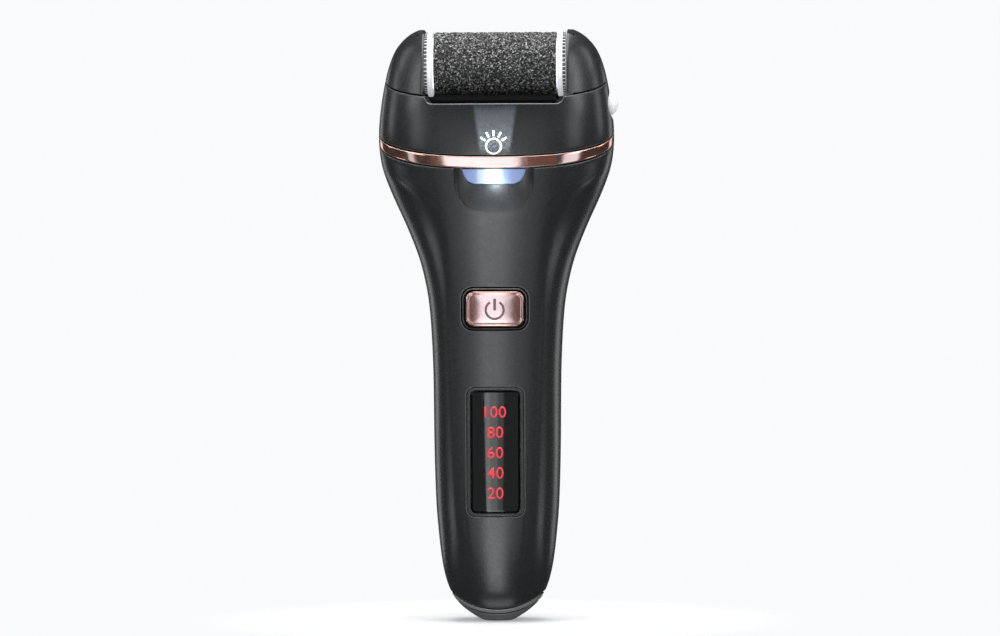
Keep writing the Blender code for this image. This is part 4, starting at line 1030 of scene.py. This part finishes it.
TROUGH_R, LINER = 13.1, 1.2
inner = [(-19.5, 158.3), (ROLLER_Y - 5.0, ROLLER_Z - TROUGH_R - 0.02)]
inner += [(ROLLER_Y + TROUGH_R * math.cos(a), ROLLER_Z + TROUGH_R * math.sin(a)) for a in np.radians(np.arange(-90, -14, 3))]
inner.append((20.0, 167.4))
outer = [(20.0, 167.4 - LINER)]
outer += [(ROLLER_Y + (TROUGH_R + LINER) * math.cos(a), ROLLER_Z + (TROUGH_R + LINER) * math.sin(a)) for a in np.radians(np.arange(-20, -91, -3))]
outer.append((-19.5, 158.3 - LINER))
trough = prism("cradle", "x", inner + outer, (-22.2, 21.5), TROUGH)
cheek_top = lambda y: ARM_PLANE[0] + ARM_PLANE[1] * y - 0.5
cheek = prism("cheek", "x", [(-17.0, 154.5), (8.0, 154.5), (15.0, 157.4), (15.0, cheek_top(15.0)), (-17.0, cheek_top(-17.0))], (-23.3, -21.85), TROUGH)
boolean(trough, "UNION", cheek)
boolean(trough, "INTERSECT", form_solid("liner_limit", WALL + 0.35, 150.0, 179.0))
boolean(trough, "DIFFERENCE", prism("gear_notch", "x", [(-8.4, 140.0), (6.7, 140.0), (6.7, 166.0), (-8.4, 166.0)], (18.3, 30.0)))
shade(trough.data, 32.0)
dress(trough, "casing", "black_gloss", "roller_trough")

# ---- roller -----------------------------------------------------------------------------------------
AXIS = (0.0, ROLLER_Y, ROLLER_Z)
rod_profile = [(0.0, -23.9), (0.75, -23.9), (1.0, -23.8), (1.1, -23.55), (1.1, 23.55), (1.0, 23.8), (0.75, 23.9), (0.0, 23.9)]
dress(turned("axle_rod", rod_profile, AXIS, STEEL, 64), "roller_axle_body", "steel", "roller_axle")


def grit_sleeve():
    """A tube covered in small broken grains, each a tilted facet with its own height."""
    length, radius, bore = 37.6, 9.33, 8.35
    n_x, n_a = 250, 400
    rng = np.random.default_rng(7)
    g_x, g_a = 84, 132
    size_x, size_a = length / g_x, 2 * math.pi * radius / g_a
    jx, ja = rng.uniform(0.08, 0.92, (g_x + 2, g_a)), rng.uniform(0.08, 0.92, (g_x + 2, g_a))
    top = rng.beta(1.6, 2.2, (g_x + 2, g_a)) * 0.40
    tx, ta = rng.normal(0.0, 0.55, (g_x + 2, g_a)), rng.normal(0.0, 0.55, (g_x + 2, g_a))
    xs = np.linspace(-length / 2, length / 2, n_x)
    an = np.arange(n_a) / n_a * 2 * math.pi
    X, A = np.meshgrid(xs + length / 2, an * radius, indexing="ij")
    X = X + rng.uniform(-0.05, 0.05, X.shape) * ((X > 0.1) & (X < length - 0.1))
    A = A + rng.uniform(-0.05, 0.05, X.shape)
    ci, cj = np.floor(X / size_x).astype(int), np.floor(A / size_a).astype(int)
    best = np.full(X.shape, -9.0)
    for di in (-1, 0, 1):
        for dj in (-1, 0, 1):
            i, j = np.clip(ci + di + 1, 0, g_x + 1), (cj + dj) % g_a
            cx, ca = (ci + di + jx[i, j]) * size_x, (cj + dj + ja[i, j]) * size_a
            dx, da = X - cx, A - ca
            h = top[i, j] + tx[i, j] * dx + ta[i, j] * da - 1.1 * np.sqrt(dx * dx + da * da + 0.004)
            best = np.maximum(best, h)
    r = radius + np.clip(best, -0.14, 0.30)
    edge = np.minimum(X, length - X)
    r = np.where(edge < 0.12, radius - 0.10, r)
    rows = [np.stack([X[i] - length / 2, ROLLER_Y + r[i] * np.cos(A[i] / radius), ROLLER_Z + r[i] * np.sin(A[i] / radius)], -1) for i in range(n_x)]
    for x in (length / 2, -length / 2):
        rows.append(np.stack([np.full(n_a, x), ROLLER_Y + bore * np.cos(an), ROLLER_Z + bore * np.sin(an)], -1))
    total = len(rows)
    verts = np.concatenate(rows)
    faces = grid_faces(total, n_a, 0, True)
    last = (total - 1) * n_a
    faces += [(last + j, last + (j + 1) % n_a, (j + 1) % n_a, j) for j in range(n_a)]
    return make("grit_sleeve", verts, faces, 24.0, GRIT)


dress(grit_sleeve(), "roller", "abrasive_grit", "abrasive_sleeve")


def gear_points(centre, teeth, module, phase, root_cut=1.2, tip_add=0.95):
    root, tip = module * (teeth / 2 - root_cut), module * (teeth / 2 + tip_add)
    half_root, half_tip = 0.86 * module / root, 0.29 * module / tip
    out = []
    for i in range(teeth):
        middle = phase + 2 * math.pi * i / teeth
        for radius, turn in ((root, -half_root), (tip, -half_tip), (tip, half_tip), (root, half_root)):
            out.append((radius, middle + turn))
    return out


def wheel(name, centre, sections, look_=None, angle=28.0, gaps=(), gap_shade_look=None):
    """A wheel about an X axis: sections of (x, [(radius, angle)...]) joined in a closed round."""
    verts, n = [], len(sections[0][1])
    for x, loop in sections:
        verts += [(x, centre[0] + r * math.cos(a), centre[1] + r * math.sin(a)) for r, a in loop]
    m = len(sections)
    faces = [(i * n + j, i * n + (j + 1) % n, ((i + 1) % m) * n + (j + 1) % n, ((i + 1) % m) * n + j) for i in range(m) for j in range(n)]
    # in the toothed rows, faces off the tooth tips take the second material: painted shade between the teeth
    marks = [i * n + j for i in gaps for j in range(n) if j % 4 != 1]
    return make(name, verts, faces, angle, look_, marks, gap_shade_look)


IDLER = (-0.99568, 157.26577)
R_PHASE = math.atan2(IDLER[1] - ROLLER_Z, IDLER[0] - ROLLER_Y)


def roller_cap(name, side, node, phase, root_cut, tip_add):
    teeth = gear_points((0, 0), 46, 0.4, phase, root_cut, tip_add)
    circle = lambda r: [(r, a) for _, a in teeth]
    less = lambda d: [(r - d, a) for r, a in teeth]
    rows = [(19.15, circle(1.2)), (19.15, circle(9.75)), (19.22, circle(10.0)), (19.42, circle(10.16)), (19.65, circle(10.2)), (20.3, circle(10.2))]
    rows += [(20.52, circle(10.16)), (20.68, circle(10.02)), (20.75, circle(9.85)), (20.75, teeth), (21.45, teeth), (21.6, less(0.12)), (21.6, circle(1.2))]
    rows = [(side * x, loop) for x, loop in rows]
    gaps = [i for i, (x, loop) in enumerate(rows) if loop is teeth]
    return dress(wheel(name, (ROLLER_Y, ROLLER_Z), rows, WHITE_GLOWING, gaps=gaps, gap_shade_look=TOOTH_GAP_SHADE), "roller", "white_plastic", node)


roller_cap("rim_left", -1, "roller_cap_left", R_PHASE, 0.9, 0.5)
roller_cap("rim_right", 1, "roller_gear_cap", R_PHASE, 1.2, 0.95)

# ---- release button and its spring ------------------------------------------------------------------
cap_profile = [(0.0, 0.0), (3.3, 0.0), (3.45, 0.15), (3.45, 0.9)]
cap_profile += [(3.45 * math.cos(a), 0.9 + 3.2 * math.sin(a)) for a in np.linspace(0.06, math.pi / 2 - 0.03, 30)] + [(0.0, 4.1)]
dress(turned("release_cap", cap_profile, (33.35, 0.0, RELEASE_Z), DOME, 96, 40.0), "release", "release_white", "release_button")

coil_n, coil_m = 240, 14
verts = []
for i in range(coil_n + 1):
    a = 2 * math.pi * 4 * i / coil_n
    c = Vector((28.95 + 3.85 * i / coil_n, 1.75 * math.cos(a), RELEASE_Z + 1.75 * math.sin(a)))
    out_dir = Vector((0.0, math.cos(a), math.sin(a)))
    along = Vector((3.85 / (2 * math.pi * 4), -1.75 * math.sin(a), 1.75 * math.cos(a))).normalized()
    up = along.cross(out_dir)
    for j in range(coil_m):
        b = 2 * math.pi * j / coil_m
        verts.append(tuple(c + 0.21 * (math.cos(b) * out_dir + math.sin(b) * up)))
faces = grid_faces(coil_n + 1, coil_m, 0, True) + [tuple(range(coil_m))[::-1], tuple(range(coil_n * coil_m, (coil_n + 1) * coil_m))]
coil = make("return_coil", verts, faces, 60.0, STEEL)
dress(coil, "casing", "steel", "release_spring")
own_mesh(coil)


# ---- headlight, button, display ---------------------------------------------------------------------
def shrunk(loop, share, centre):
    return [(centre[0] + (x - centre[0]) * share, centre[1] + (z - centre[1]) * share) for x, z in loop]


lens_loop = dense(light_loop(0.0), 0.5)
lens_rows = [(1.0, 0.95), (0.998, 0.78), (0.99, 0.62), (0.975, 0.52), (0.95, 0.46)] + [(v, 0.45) for v in (0.85, 0.7, 0.5, 0.3, 0.1, 0.01)]
lens_piece = plate("headlight_glass", [shrunk(lens_loop, v, (0, 136.5)) for v, _ in lens_rows], [d for _, d in lens_rows], -17.4, LENS)
dress(lens_piece, "casing", "clear_lens", "headlight_lens")


B_W, B_H, B_R = 17.9, 10.7, 2.5
crown = lambda x, z: 17.80 - 0.62 * (np.abs(x) / 8.95) ** 3 - 0.10 * (np.abs(z - BUTTON_Z) / 5.35) ** 3


button_rows = [(0.0, 0.55), (0.02, 0.36), (0.08, 0.2), (0.18, 0.08), (0.32, 0.01), (0.5, 0.0), (0.66, 0.03), (0.78, 0.10), (0.9, 0.2), (1.05, 0.25), (1.25, 0.24)]
def even_loop(g, points=160):
    """A rounded rectangle read at even steps round it, so that every loop has the same number of points."""
    w, h, r = B_W - 2 * g, B_H - 2 * g, max(B_R - g, 0.4)
    raw = np.array(rounded_loop(0, BUTTON_Z, w, h, r, 12))
    raw = np.concatenate([raw, raw[:1]])
    d = np.concatenate([[0], np.cumsum(np.linalg.norm(np.diff(raw, axis=0), axis=1))])
    t = np.linspace(0, d[-1], points, endpoint=False)
    return [(float(np.interp(v, d, raw[:, 0])), float(np.interp(v, d, raw[:, 1]))) for v in t]


loops = [even_loop(g) for g, _ in button_rows]
depths = [d for _, d in button_rows]
for share in (0.92, 0.8, 0.65, 0.5, 0.35, 0.2, 0.05):
    loops.append(shrunk(loops[len(button_rows) - 1], share, (0, BUTTON_Z)))
    depths.append(0.24 - 0.14 * (1 - share**2))
button_piece = plate("button_cap", loops, depths, -14.4, ROSE_BUTTON, 40.0, surface=crown)
stem = prism("stem", "y", rounded_loop(0, BUTTON_Z, 4.0, 4.0, 0.4, 4), (-14.6, -13.2))
boolean(button_piece, "UNION", stem)
shade(button_piece.data, 40.0)
dress(button_piece, "power_button", "rose_gold_button", "power_button")


def strips(name, paths, surface, lift, sunk, look_):
    """Thin raised lines that follow a surface: each path is (points, width, closed)."""
    verts, faces = [], []
    for pts, width, closed in paths:
        p = np.array(pts, float)
        n = len(p)
        ahead = np.roll(p, -1, axis=0) - p
        behind = p - np.roll(p, 1, axis=0)
        if not closed:
            ahead[-1], behind[0] = behind[-1], ahead[0]
        ahead /= np.linalg.norm(ahead, axis=1)[:, None]
        behind /= np.linalg.norm(behind, axis=1)[:, None]
        mid = ahead + behind
        mid /= np.linalg.norm(mid, axis=1)[:, None]
        normal = np.stack([-mid[:, 1], mid[:, 0]], -1)
        half = width / 2 / np.maximum((mid * ahead).sum(1), 0.5)
        base = len(verts)
        for side, up in ((1, lift), (-1, lift), (-1, -sunk), (1, -sunk)):
            q = p + normal * (half * side)[:, None]
            y = -(surface(q[:, 0], q[:, 1]) + up)
            verts += [(a, b, c) for a, b, c in zip(q[:, 0], y, q[:, 1])]
        for k in range(4):
            m = (k + 1) % 4
            for i in range(n if closed else n - 1):
                j = (i + 1) % n
                faces.append((base + k * n + i, base + k * n + j, base + m * n + j, base + m * n + i))
        if not closed:
            faces.append(tuple(base + k * n for k in range(4)))
            faces.append(tuple(base + k * n + n - 1 for k in range(4))[::-1])
    return make(name, verts, faces, 30.0, look_)


def arc_points(cx, cz, r, start, end, steps, squash=1.0):
    return [(cx + r * math.cos(a), cz + r * squash * math.sin(a)) for a in np.radians(np.linspace(start, end, steps))]


def button_face(x, z):
    share = np.maximum(np.abs(x) / 7.7, np.abs(z - BUTTON_Z) / 4.1)
    return crown(x, z) - (0.24 - 0.14 * (1 - np.minimum(share, 1.0) ** 2))


power_symbol = strips(
    "power_symbol",
    [(arc_points(0, BUTTON_Z - 0.35, 2.72, 122, 418, 60), 0.72, False), ([(0, BUTTON_Z + 3.1), (0, BUTTON_Z + 1.6), (0, BUTTON_Z - 0.5)], 0.85, False)],
    button_face, 0.5, 0.22, SYMBOL,
)
button_piece.modifiers.clear()
engrave = button_piece.modifiers.new("engrave", "BOOLEAN")
engrave.operation, engrave.object, engrave.solver, engrave.material_mode = "DIFFERENCE", power_symbol, "EXACT", "TRANSFER"
apply(button_piece)
bpy.data.objects.remove(power_symbol, do_unlink=True)
shade(button_piece.data, 30.0)

bezel_out = dense(rounded_loop(0, BUTTON_Z, 20.0, 12.7, 3.3, 10), 0.8)


def matched(loop, w, h, r):
    """The point on another rounded rectangle that lies nearest each point of a loop."""
    raw = np.array(dense(rounded_loop(0, loop_centre(loop), w, h, r, 24), 0.05))
    return [tuple(raw[np.argmin(((raw - np.array(p)) ** 2).sum(1))]) for p in loop]


def loop_centre(loop):
    zs = [z for _, z in loop]
    return (min(zs) + max(zs)) / 2


bezel_in = matched(bezel_out, 18.6, 11.4, 2.8)
bezel_top = lambda x, z: np.minimum(forward(x, z) + 0.05, 17.22)
bezel = hoop("button_surround", bezel_out, bezel_in, [(0.0, 0.5), (0.04, 0.25), (0.12, 0.08), (0.24, 0.0), (0.4, 0.0), (0.6, 0.06), (0.8, 0.2), (0.94, 0.42), (1.0, 0.7)], -14.2, BEZEL, surface=bezel_top)
dress(bezel, "casing", "black_gloss", "power_button_bezel")

frame_out = dense(rounded_loop(0, DISPLAY_Z, 17.3, 39.4, 2.45, 10), 0.9)
frame_in = matched(frame_out, 15.3, 37.7, 1.8)
frame_profile = [(0.0, 0.5), (0.02, 0.2), (0.06, 0.06), (0.13, 0.02), (0.20, 0.06), (0.27, 0.25), (0.35, 0.45), (0.60, 0.45), (0.68, 0.25), (0.75, 0.08), (0.82, 0.03), (0.90, 0.06), (0.97, 0.22), (1.0, 0.5)]
surround = hoop("display_surround", frame_out, frame_in, frame_profile, -14.3, FRAME_MAT)
dress(surround, "casing", "trim_silver", "display_frame")

def pane(name, w, h, r, inset, back, look_):
    """A rounded rectangle cut from the form, as a grid of upright columns with fine steps at its rounded edge."""
    off = [0.0, 0.03, 0.09, 0.18, 0.30, 0.45, 0.8]
    zs = [g for g in off] + [1.1, 1.5]
    zs = [-h / 2 + g for g in zs] + list(np.linspace(-h / 2 + 2.3, h / 2 - 2.3, 38)) + [h / 2 - g for g in zs[::-1]]
    rows = []
    for z in zs:
        g = h / 2 - abs(z)
        half = w / 2 if g >= r else w / 2 - r + math.sqrt(max(r * r - (r - g) ** 2, 0.0))
        left = [-(half - o) for o in off]
        mid = list(np.linspace(left[-1], -left[-1], 15))[1:-1]
        rows.append([(x, z) for x in left + mid + [-x for x in left[::-1]]])
    grid = np.array(rows)
    x, z = grid[:, :, 0], grid[:, :, 1]
    qx, qz = np.abs(x) - (w / 2 - r), np.abs(z) - (h / 2 - r)
    gap = np.hypot(np.maximum(qx, 0), np.maximum(qz, 0)) + np.minimum(np.maximum(qx, qz), 0) - r
    depth = inset + sink(np.maximum(-gap, 0.0), 0.42)
    face = np.stack([x, -(forward(x, z + DISPLAY_Z) - depth), z + DISPLAY_Z], -1)
    rear = face.copy()
    rear[:, :, 1] = back
    m, n = x.shape
    faces = grid_faces(m, n) + grid_faces(m, n, m * n, flip=True)
    rim = [j for j in range(n)] + [i * n + n - 1 for i in range(1, m)] + [(m - 1) * n + j for j in range(n - 2, -1, -1)] + [i * n for i in range(m - 2, 0, -1)]
    faces += [(rim[i], rim[(i + 1) % len(rim)], m * n + rim[(i + 1) % len(rim)], m * n + rim[i]) for i in range(len(rim))]
    return make(name, np.concatenate([face.reshape(-1, 3), rear.reshape(-1, 3)]), faces, 34.0, look_)


dress(pane("display_glass", 14.7, 37.1, 1.5, 0.35, -14.9, GLASS), "casing", "black_gloss", "display_lens")


def number(name, text, z, height=3.5):
    """A number of the display, as thin glowing shapes laid on the lens."""
    curve = bpy.data.curves.new(name, "FONT")
    curve.body = text
    curve.align_x, curve.align_y = "CENTER", "CENTER"
    curve.size = 1.0
    curve.offset = 0.004
    curve.space_character = 1.04
    curve.resolution_u = 6
    tmp = bpy.data.objects.new(name, curve)
    bpy.context.scene.collection.objects.link(tmp)
    bpy.context.view_layer.update()
    mesh = bpy.data.meshes.new_from_object(tmp.evaluated_get(bpy.context.evaluated_depsgraph_get()))
    bpy.data.objects.remove(tmp, do_unlink=True)
    bm = bmesh.new()
    bm.from_mesh(mesh)
    bmesh.ops.remove_doubles(bm, verts=bm.verts, dist=1e-5)
    us, vs = [v.co.x for v in bm.verts], [v.co.y for v in bm.verts]
    tall, mid_u, mid_v = max(vs) - min(vs), (max(us) + min(us)) / 2, (max(vs) + min(vs)) / 2
    k = height / tall
    for v in bm.verts:
        x, zz = (v.co.x - mid_u) * k * 1.02, z + (v.co.y - mid_v) * k
        v.co = (x, -(float(forward(x, zz)) - 0.35 + 0.03), zz)
    made = bmesh.ops.extrude_face_region(bm, geom=list(bm.faces))
    for v in (g for g in made["geom"] if isinstance(g, bmesh.types.BMVert)):
        v.co.y += 0.07
    bmesh.ops.scale(bm, vec=(MM, MM, MM), verts=bm.verts)
    bmesh.ops.recalc_face_normals(bm, faces=bm.faces)
    bm.to_mesh(mesh)
    bm.free()
    mesh.materials.clear()
    mesh.materials.append(DIGIT)
    ob = bpy.data.objects.new(name, mesh)
    bpy.context.scene.collection.objects.link(ob)
    return dress(ob, "casing", "led_red")


for text, z in zip(("20", "40", "60", "80", "100"), DIGIT_Z):
    number("level_" + text, text, z)

# ---- printed light mark on the head: a plain ring and even rays --------------------------------------
ICON_Z = 145.7
mark = [(arc_points(0, ICON_Z, 2.28, 0, 360, 49)[:-1], 0.46, True)]
for deg in (90, 62, 118, 34, 146):
    a = math.radians(deg)
    mark.append(([(r * math.cos(a), ICON_Z + r * math.sin(a)) for r in (3.1, 3.9, 4.75)], 0.52, False))
dress(strips("light_mark", mark, lambda x, z: forward(x, z), 0.025, 0.08, ICON), "casing", "trim_silver")

# ---- charging inlet ---------------------------------------------------------------------------------
inlet_shell = prism("inlet_shell", "y", rounded_loop(0, 15.6, 9.0, 3.4, 1.6, 12), (7.6, 15.0), STEEL)
boolean(inlet_shell, "DIFFERENCE", prism("inlet_mouth", "y", rounded_loop(0, 15.6, 8.3, 2.7, 1.3, 12), (8.6, 16.0)))
shade(inlet_shell.data, 30.0)
dress(inlet_shell, "casing", "steel", "charging_socket")
tongue = prism("inlet_tongue", "y", rounded_loop(0, 15.6, 6.4, 0.7, 0.15, 3), (8.4, 13.9), RUBBER)
dress(tongue, "casing", "black_plastic")

# ---- the pieces kept from the CAD, in their own finishes ----------------------------------------------
for node, mat in {
    "head_seal": RUBBER, "headlight_board": BOARD, "headlight_led": LED_WHITE, "button_gasket": RUBBER, "tact_switch": INNER,
    "switch_plunger": RUBBER, "light_guide": GUIDE, "main_board": BOARD, "charging_board": BOARD, "chassis": INNER,
    "battery_cell": WRAP, "battery_tab_top": STEEL, "battery_tab_bottom": STEEL, "board_screw_left": STEEL, "board_screw_right": STEEL,
    "motor_screw_front": STEEL, "motor_screw_rear": STEEL, "motor_can": PLATED, "motor_end_bell": INNER, "motor_shaft": STEEL,
    "motor_pinion": BRASS, "motor_lead_red": LEAD_RED, "motor_lead_black": LEAD_BLACK, "gear_plate": INNER, "gearbox_cover": INNER,
    "idler_pin": STEEL, "compound_pin": STEEL, "idler_gear": NYLON, "compound_gear": NYLON, "roller_core": WHITE_GLOWING, "release_slider": NYLON,
    "display_led_1": LED_RED, "display_led_2": LED_RED, "display_led_3": LED_RED, "display_led_4": LED_RED, "display_led_5": LED_RED,
}.items():
    repaint(node, mat)

# ---- camera, floor, light ---------------------------------------------------------------------------
cam_data = bpy.data.cameras.new("camera")
cam = bpy.data.objects.new("camera", cam_data)
bpy.context.scene.collection.objects.link(cam)
bpy.context.scene.camera = cam
DIST, AZ, EL = 1.60, math.radians(2.5), math.radians(1.0)
target = Vector((0.00085, 0.0, 0.0931))
offset = Vector((math.sin(AZ) * math.cos(EL), -math.cos(AZ) * math.cos(EL), math.sin(EL))) * DIST
cam.location = target + offset
cam.rotation_euler = ((target - cam.location).to_track_quat("-Z", "Y").to_matrix() @ Matrix.Rotation(math.radians(-0.2), 3, "Z")).to_euler()
cam_data.sensor_width = 36.0
cam_data.lens = 186.9
cam_data.clip_start = 0.01


def finish_scene():
    # a pale disc that fades out into the backdrop, for the contact shadow
    floor_mat = bpy.data.materials.new("floor_pale")
    floor_mat.use_nodes = True
    ft = floor_mat.node_tree
    ft.nodes.remove(ft.nodes["Principled BSDF"])
    paint = ft.nodes.new("ShaderNodeBsdfDiffuse")
    paint.inputs["Color"].default_value = (0.86, 0.865, 0.88, 1.0)
    clear = ft.nodes.new("ShaderNodeBsdfTransparent")
    coords = ft.nodes.new("ShaderNodeTexCoord")
    size = ft.nodes.new("ShaderNodeVectorMath")
    size.operation = "LENGTH"
    fade = ft.nodes.new("ShaderNodeMapRange")
    fade.interpolation_type = "SMOOTHSTEP"
    for name, v in (("From Min", 0.02), ("From Max", 0.10), ("To Min", 0.0), ("To Max", 1.0)):
        fade.inputs[name].default_value = v
    lift = ft.nodes.new("ShaderNodeEmission")
    lift.inputs["Color"].default_value = (0.955, 0.960, 0.975, 1.0)
    lift.inputs["Strength"].default_value = 0.25
    both = ft.nodes.new("ShaderNodeAddShader")
    ft.links.new(paint.outputs[0], both.inputs[0])
    ft.links.new(lift.outputs[0], both.inputs[1])
    blend = ft.nodes.new("ShaderNodeMixShader")
    ft.links.new(coords.outputs["Object"], size.inputs[0])
    ft.links.new(size.outputs["Value"], fade.inputs["Value"])
    ft.links.new(fade.outputs["Result"], blend.inputs["Fac"])
    ft.links.new(both.outputs[0], blend.inputs[1])
    ft.links.new(clear.outputs[0], blend.inputs[2])
    ft.links.new(blend.outputs[0], ft.nodes["Material Output"].inputs["Surface"])
    bm = bmesh.new()
    bmesh.ops.create_circle(bm, cap_ends=True, segments=96, radius=0.11)
    mesh = bpy.data.meshes.new("floor")
    bm.to_mesh(mesh)
    bm.free()
    mesh.materials.append(floor_mat)
    floor = bpy.data.objects.new("floor", mesh)
    bpy.context.scene.collection.objects.link(floor)
    floor.visible_glossy = False
    floor.visible_diffuse = False
    floor.visible_shadow = False

    world = bpy.data.worlds.new("studio")
    bpy.context.scene.world = world
    world.use_nodes = True
    nt = world.node_tree
    bg = nt.nodes["Background"]
    bg.inputs["Color"].default_value = (0.93, 0.945, 0.975, 1.0)
    bg.inputs["Strength"].default_value = 0.06
    seen = nt.nodes.new("ShaderNodeBackground")
    seen.inputs["Color"].default_value = (0.955, 0.960, 0.975, 1.0)
    seen.inputs["Strength"].default_value = 1.0
    path = nt.nodes.new("ShaderNodeLightPath")
    mix = nt.nodes.new("ShaderNodeMixShader")
    nt.links.new(path.outputs["Is Camera Ray"], mix.inputs["Fac"])
    nt.links.new(bg.outputs[0], mix.inputs[1])
    nt.links.new(seen.outputs[0], mix.inputs[2])
    nt.links.new(mix.outputs[0], nt.nodes["World Output"].inputs["Surface"])

    def area(name, at, aim, size, power, colour=(1, 1, 1)):
        data = bpy.data.lights.new(name, "AREA")
        data.shape = "RECTANGLE"
        data.size, data.size_y = size
        data.energy = power
        data.color = colour
        ob = bpy.data.objects.new(name, data)
        bpy.context.scene.collection.objects.link(ob)
        ob.location = at
        ob.rotation_euler = (Vector(aim) - Vector(at)).to_track_quat("-Z", "Y").to_euler()
        ob.visible_camera = False
        return ob

    def strip(name, azimuth, width, low, high, glow, away=0.95, colour=(1, 1, 1)):
        """An upright panel standing round the object: its bearing and width in degrees, its ends' heights in metres, its radiance."""
        a = math.radians(azimuth)
        middle, wide = (low + high) / 2, 2 * away * math.tan(math.radians(width / 2))
        at = (away * math.sin(a), -away * math.cos(a), middle)
        return area(name, at, (0.0, 0.0, middle), (wide, high - low), glow * math.pi * wide * (high - low), colour)

    front = [
        strip("front_a", -5.6, 2.6, -0.60, 0.17, 7.0),
        strip("front_b", -3.1, 2.4, -0.60, 0.17, 4.7),
        strip("front_c", -0.6, 2.6, -0.60, 0.17, 1.9),
        strip("panel", -3.0, 50.0, -0.40, 0.45, 0.66, 1.0, (0.96, 0.99, 1.0)),
    ]
    strip("front_low", -3.0, 9.0, -0.50, -0.10, 2.3, 0.93)
    strip("front_floor", -3.0, 10.0, -1.10, -0.50, 5.0, 0.93)
    strip("left_arm", -55.0, 13.0, 0.46, 1.60, 4.4)
    strip("left_top", -93.0, 14.0, 0.60, 1.30, 2.6, 0.8)
    strip("right_arm", 55.0, 13.0, 0.46, 1.60, 5.2)
    strip("right_top", 93.0, 14.0, 0.60, 1.30, 3.0, 0.8)
    strip("left_front", -47.0, 14.0, 0.13, 0.44, 2.2)
    strip("right_front", 47.0, 14.0, 0.13, 0.44, 2.5)
    strip("left_low", -82.0, 24.0, -0.17, -0.05, 2.2, 0.8)
    strip("right_low", 82.0, 24.0, -0.17, -0.05, 2.2, 0.8)
    strip("left_high", -96.0, 13.0, 0.19, 0.55, 2.2, 0.8)
    strip("right_high", 96.0, 13.0, 0.19, 0.55, 2.2, 0.8)
    strip("left_rim", -140.0, 14.0, -0.10, 0.35, 1.2, 0.8)
    strip("right_rim", 140.0, 14.0, -0.10, 0.35, 1.2, 0.8)
    # panels that only the rose gold sees, and front strips that it doesn't
    cool = (0.50, 0.73, 0.95)
    for piece, panels in {
        "accent_ring": (("band_front", -9.5, 30.0, 2.6), ("band_right", 45.0, 19.0, 1.9), ("band_left", -57.0, 8.0, 1.5)),
        "button_cap": (("button_front", -5.6, 13.0, 2.35), ("button_side", 4.0, 6.0, 1.3)),
    }.items():
        shown_in = bpy.data.collections.new(piece + "_only")
        shown_in.objects.link(bpy.data.objects[piece])
        for name, azimuth, width, glow in panels:
            strip(name, azimuth, width, -0.35, 0.50, glow, 0.96, cool).light_linking.receiver_collection = shown_in
        strip(piece + "_base", -3.0, 64.0, -0.35, 0.50, 0.10, 1.02, (1.0, 0.62, 0.55)).light_linking.receiver_collection = shown_in
    hidden_from = bpy.data.collections.new("not_the_rose_gold")
    for piece in ("accent_ring", "button_cap"):
        hidden_from.objects.link(bpy.data.objects[piece])
    for entry in hidden_from.collection_objects:
        entry.light_linking.link_state = "EXCLUDE"
    for panel in front:
        panel.light_linking.receiver_collection = hidden_from
    area("top", (0.0, 0.0, 1.1), (0.0, 0.0, 0.1), (0.6, 0.9), 11.0)
    area("below", (0.0, -0.14, -0.60), (0.0, -0.005, 0.0), (0.30, 0.26), 1.8 * math.pi * 0.078)

    def spot(name, at, aim, angle, soft, power, radius, colour):
        data = bpy.data.lights.new(name, "SPOT")
        data.spot_size, data.spot_blend = math.radians(angle), soft
        data.energy = power
        data.shadow_soft_size = radius
        data.color = colour
        ob = bpy.data.objects.new(name, data)
        bpy.context.scene.collection.objects.link(ob)
        ob.location = at
        ob.rotation_euler = (Vector(aim) - Vector(at)).to_track_quat("-Z", "Y").to_euler()
        return ob

    # the headlight's beam: up over the head, and down into the scoop
    beam = spot("beam_up", (0.0004, -0.0500, 0.1108), (0.0004, 0.0, 0.1108), 150.0, 0.0, 1.1, 0.0003, (0.88, 0.94, 1.0))
    beam.rotation_euler = (math.radians(90.0), 0.0, 0.0)
    beam.data.use_nodes = True
    bt = beam.data.node_tree
    give = bt.nodes["Emission"]
    facing = bt.nodes.new("ShaderNodeTexCoord")
    split = bt.nodes.new("ShaderNodeSeparateXYZ")
    bt.links.new(facing.outputs["Normal"], split.inputs[0])

    def maths(operation, a, b=None):
        n = bt.nodes.new("ShaderNodeMath")
        n.operation = operation
        for socket, value in zip(n.inputs, (a, b)):
            if isinstance(value, (int, float)):
                socket.default_value = value
            elif value is not None:
                bt.links.new(value, socket)
        return n.outputs[0]

    def between(value, low, high, out_low, out_high):
        n = bt.nodes.new("ShaderNodeMapRange")
        n.interpolation_type = "SMOOTHSTEP"
        for k, v in (("From Min", low), ("From Max", high), ("To Min", out_low), ("To Max", out_high)):
            n.inputs[k].default_value = v
        bt.links.new(value, n.inputs["Value"])
        return n.outputs["Result"]

    up = maths("MAXIMUM", split.outputs["Y"], 0.001)
    sideways = between(maths("DIVIDE", maths("ABSOLUTE", split.outputs["X"]), up), 0.122, 0.150, 1.0, 0.0)
    rise = maths("DIVIDE", up, maths("MAXIMUM", maths("ABSOLUTE", split.outputs["Z"]), 0.001))
    bt.links.new(maths("MULTIPLY", sideways, maths("MULTIPLY", between(rise, 1.13, 1.26, 0.0, 1.0), between(rise, 1.54, 1.64, 1.0, 0.0))), give.inputs["Strength"])
    spot("beam_down", (0.0004, -0.0285, 0.1362), (0.0004, -0.0200, 0.1310), 80.0, 1.0, 0.010, 0.0015, (0.80, 0.90, 1.0))
    bpy.context.scene.view_settings.view_transform = "Standard"


finish_scene()
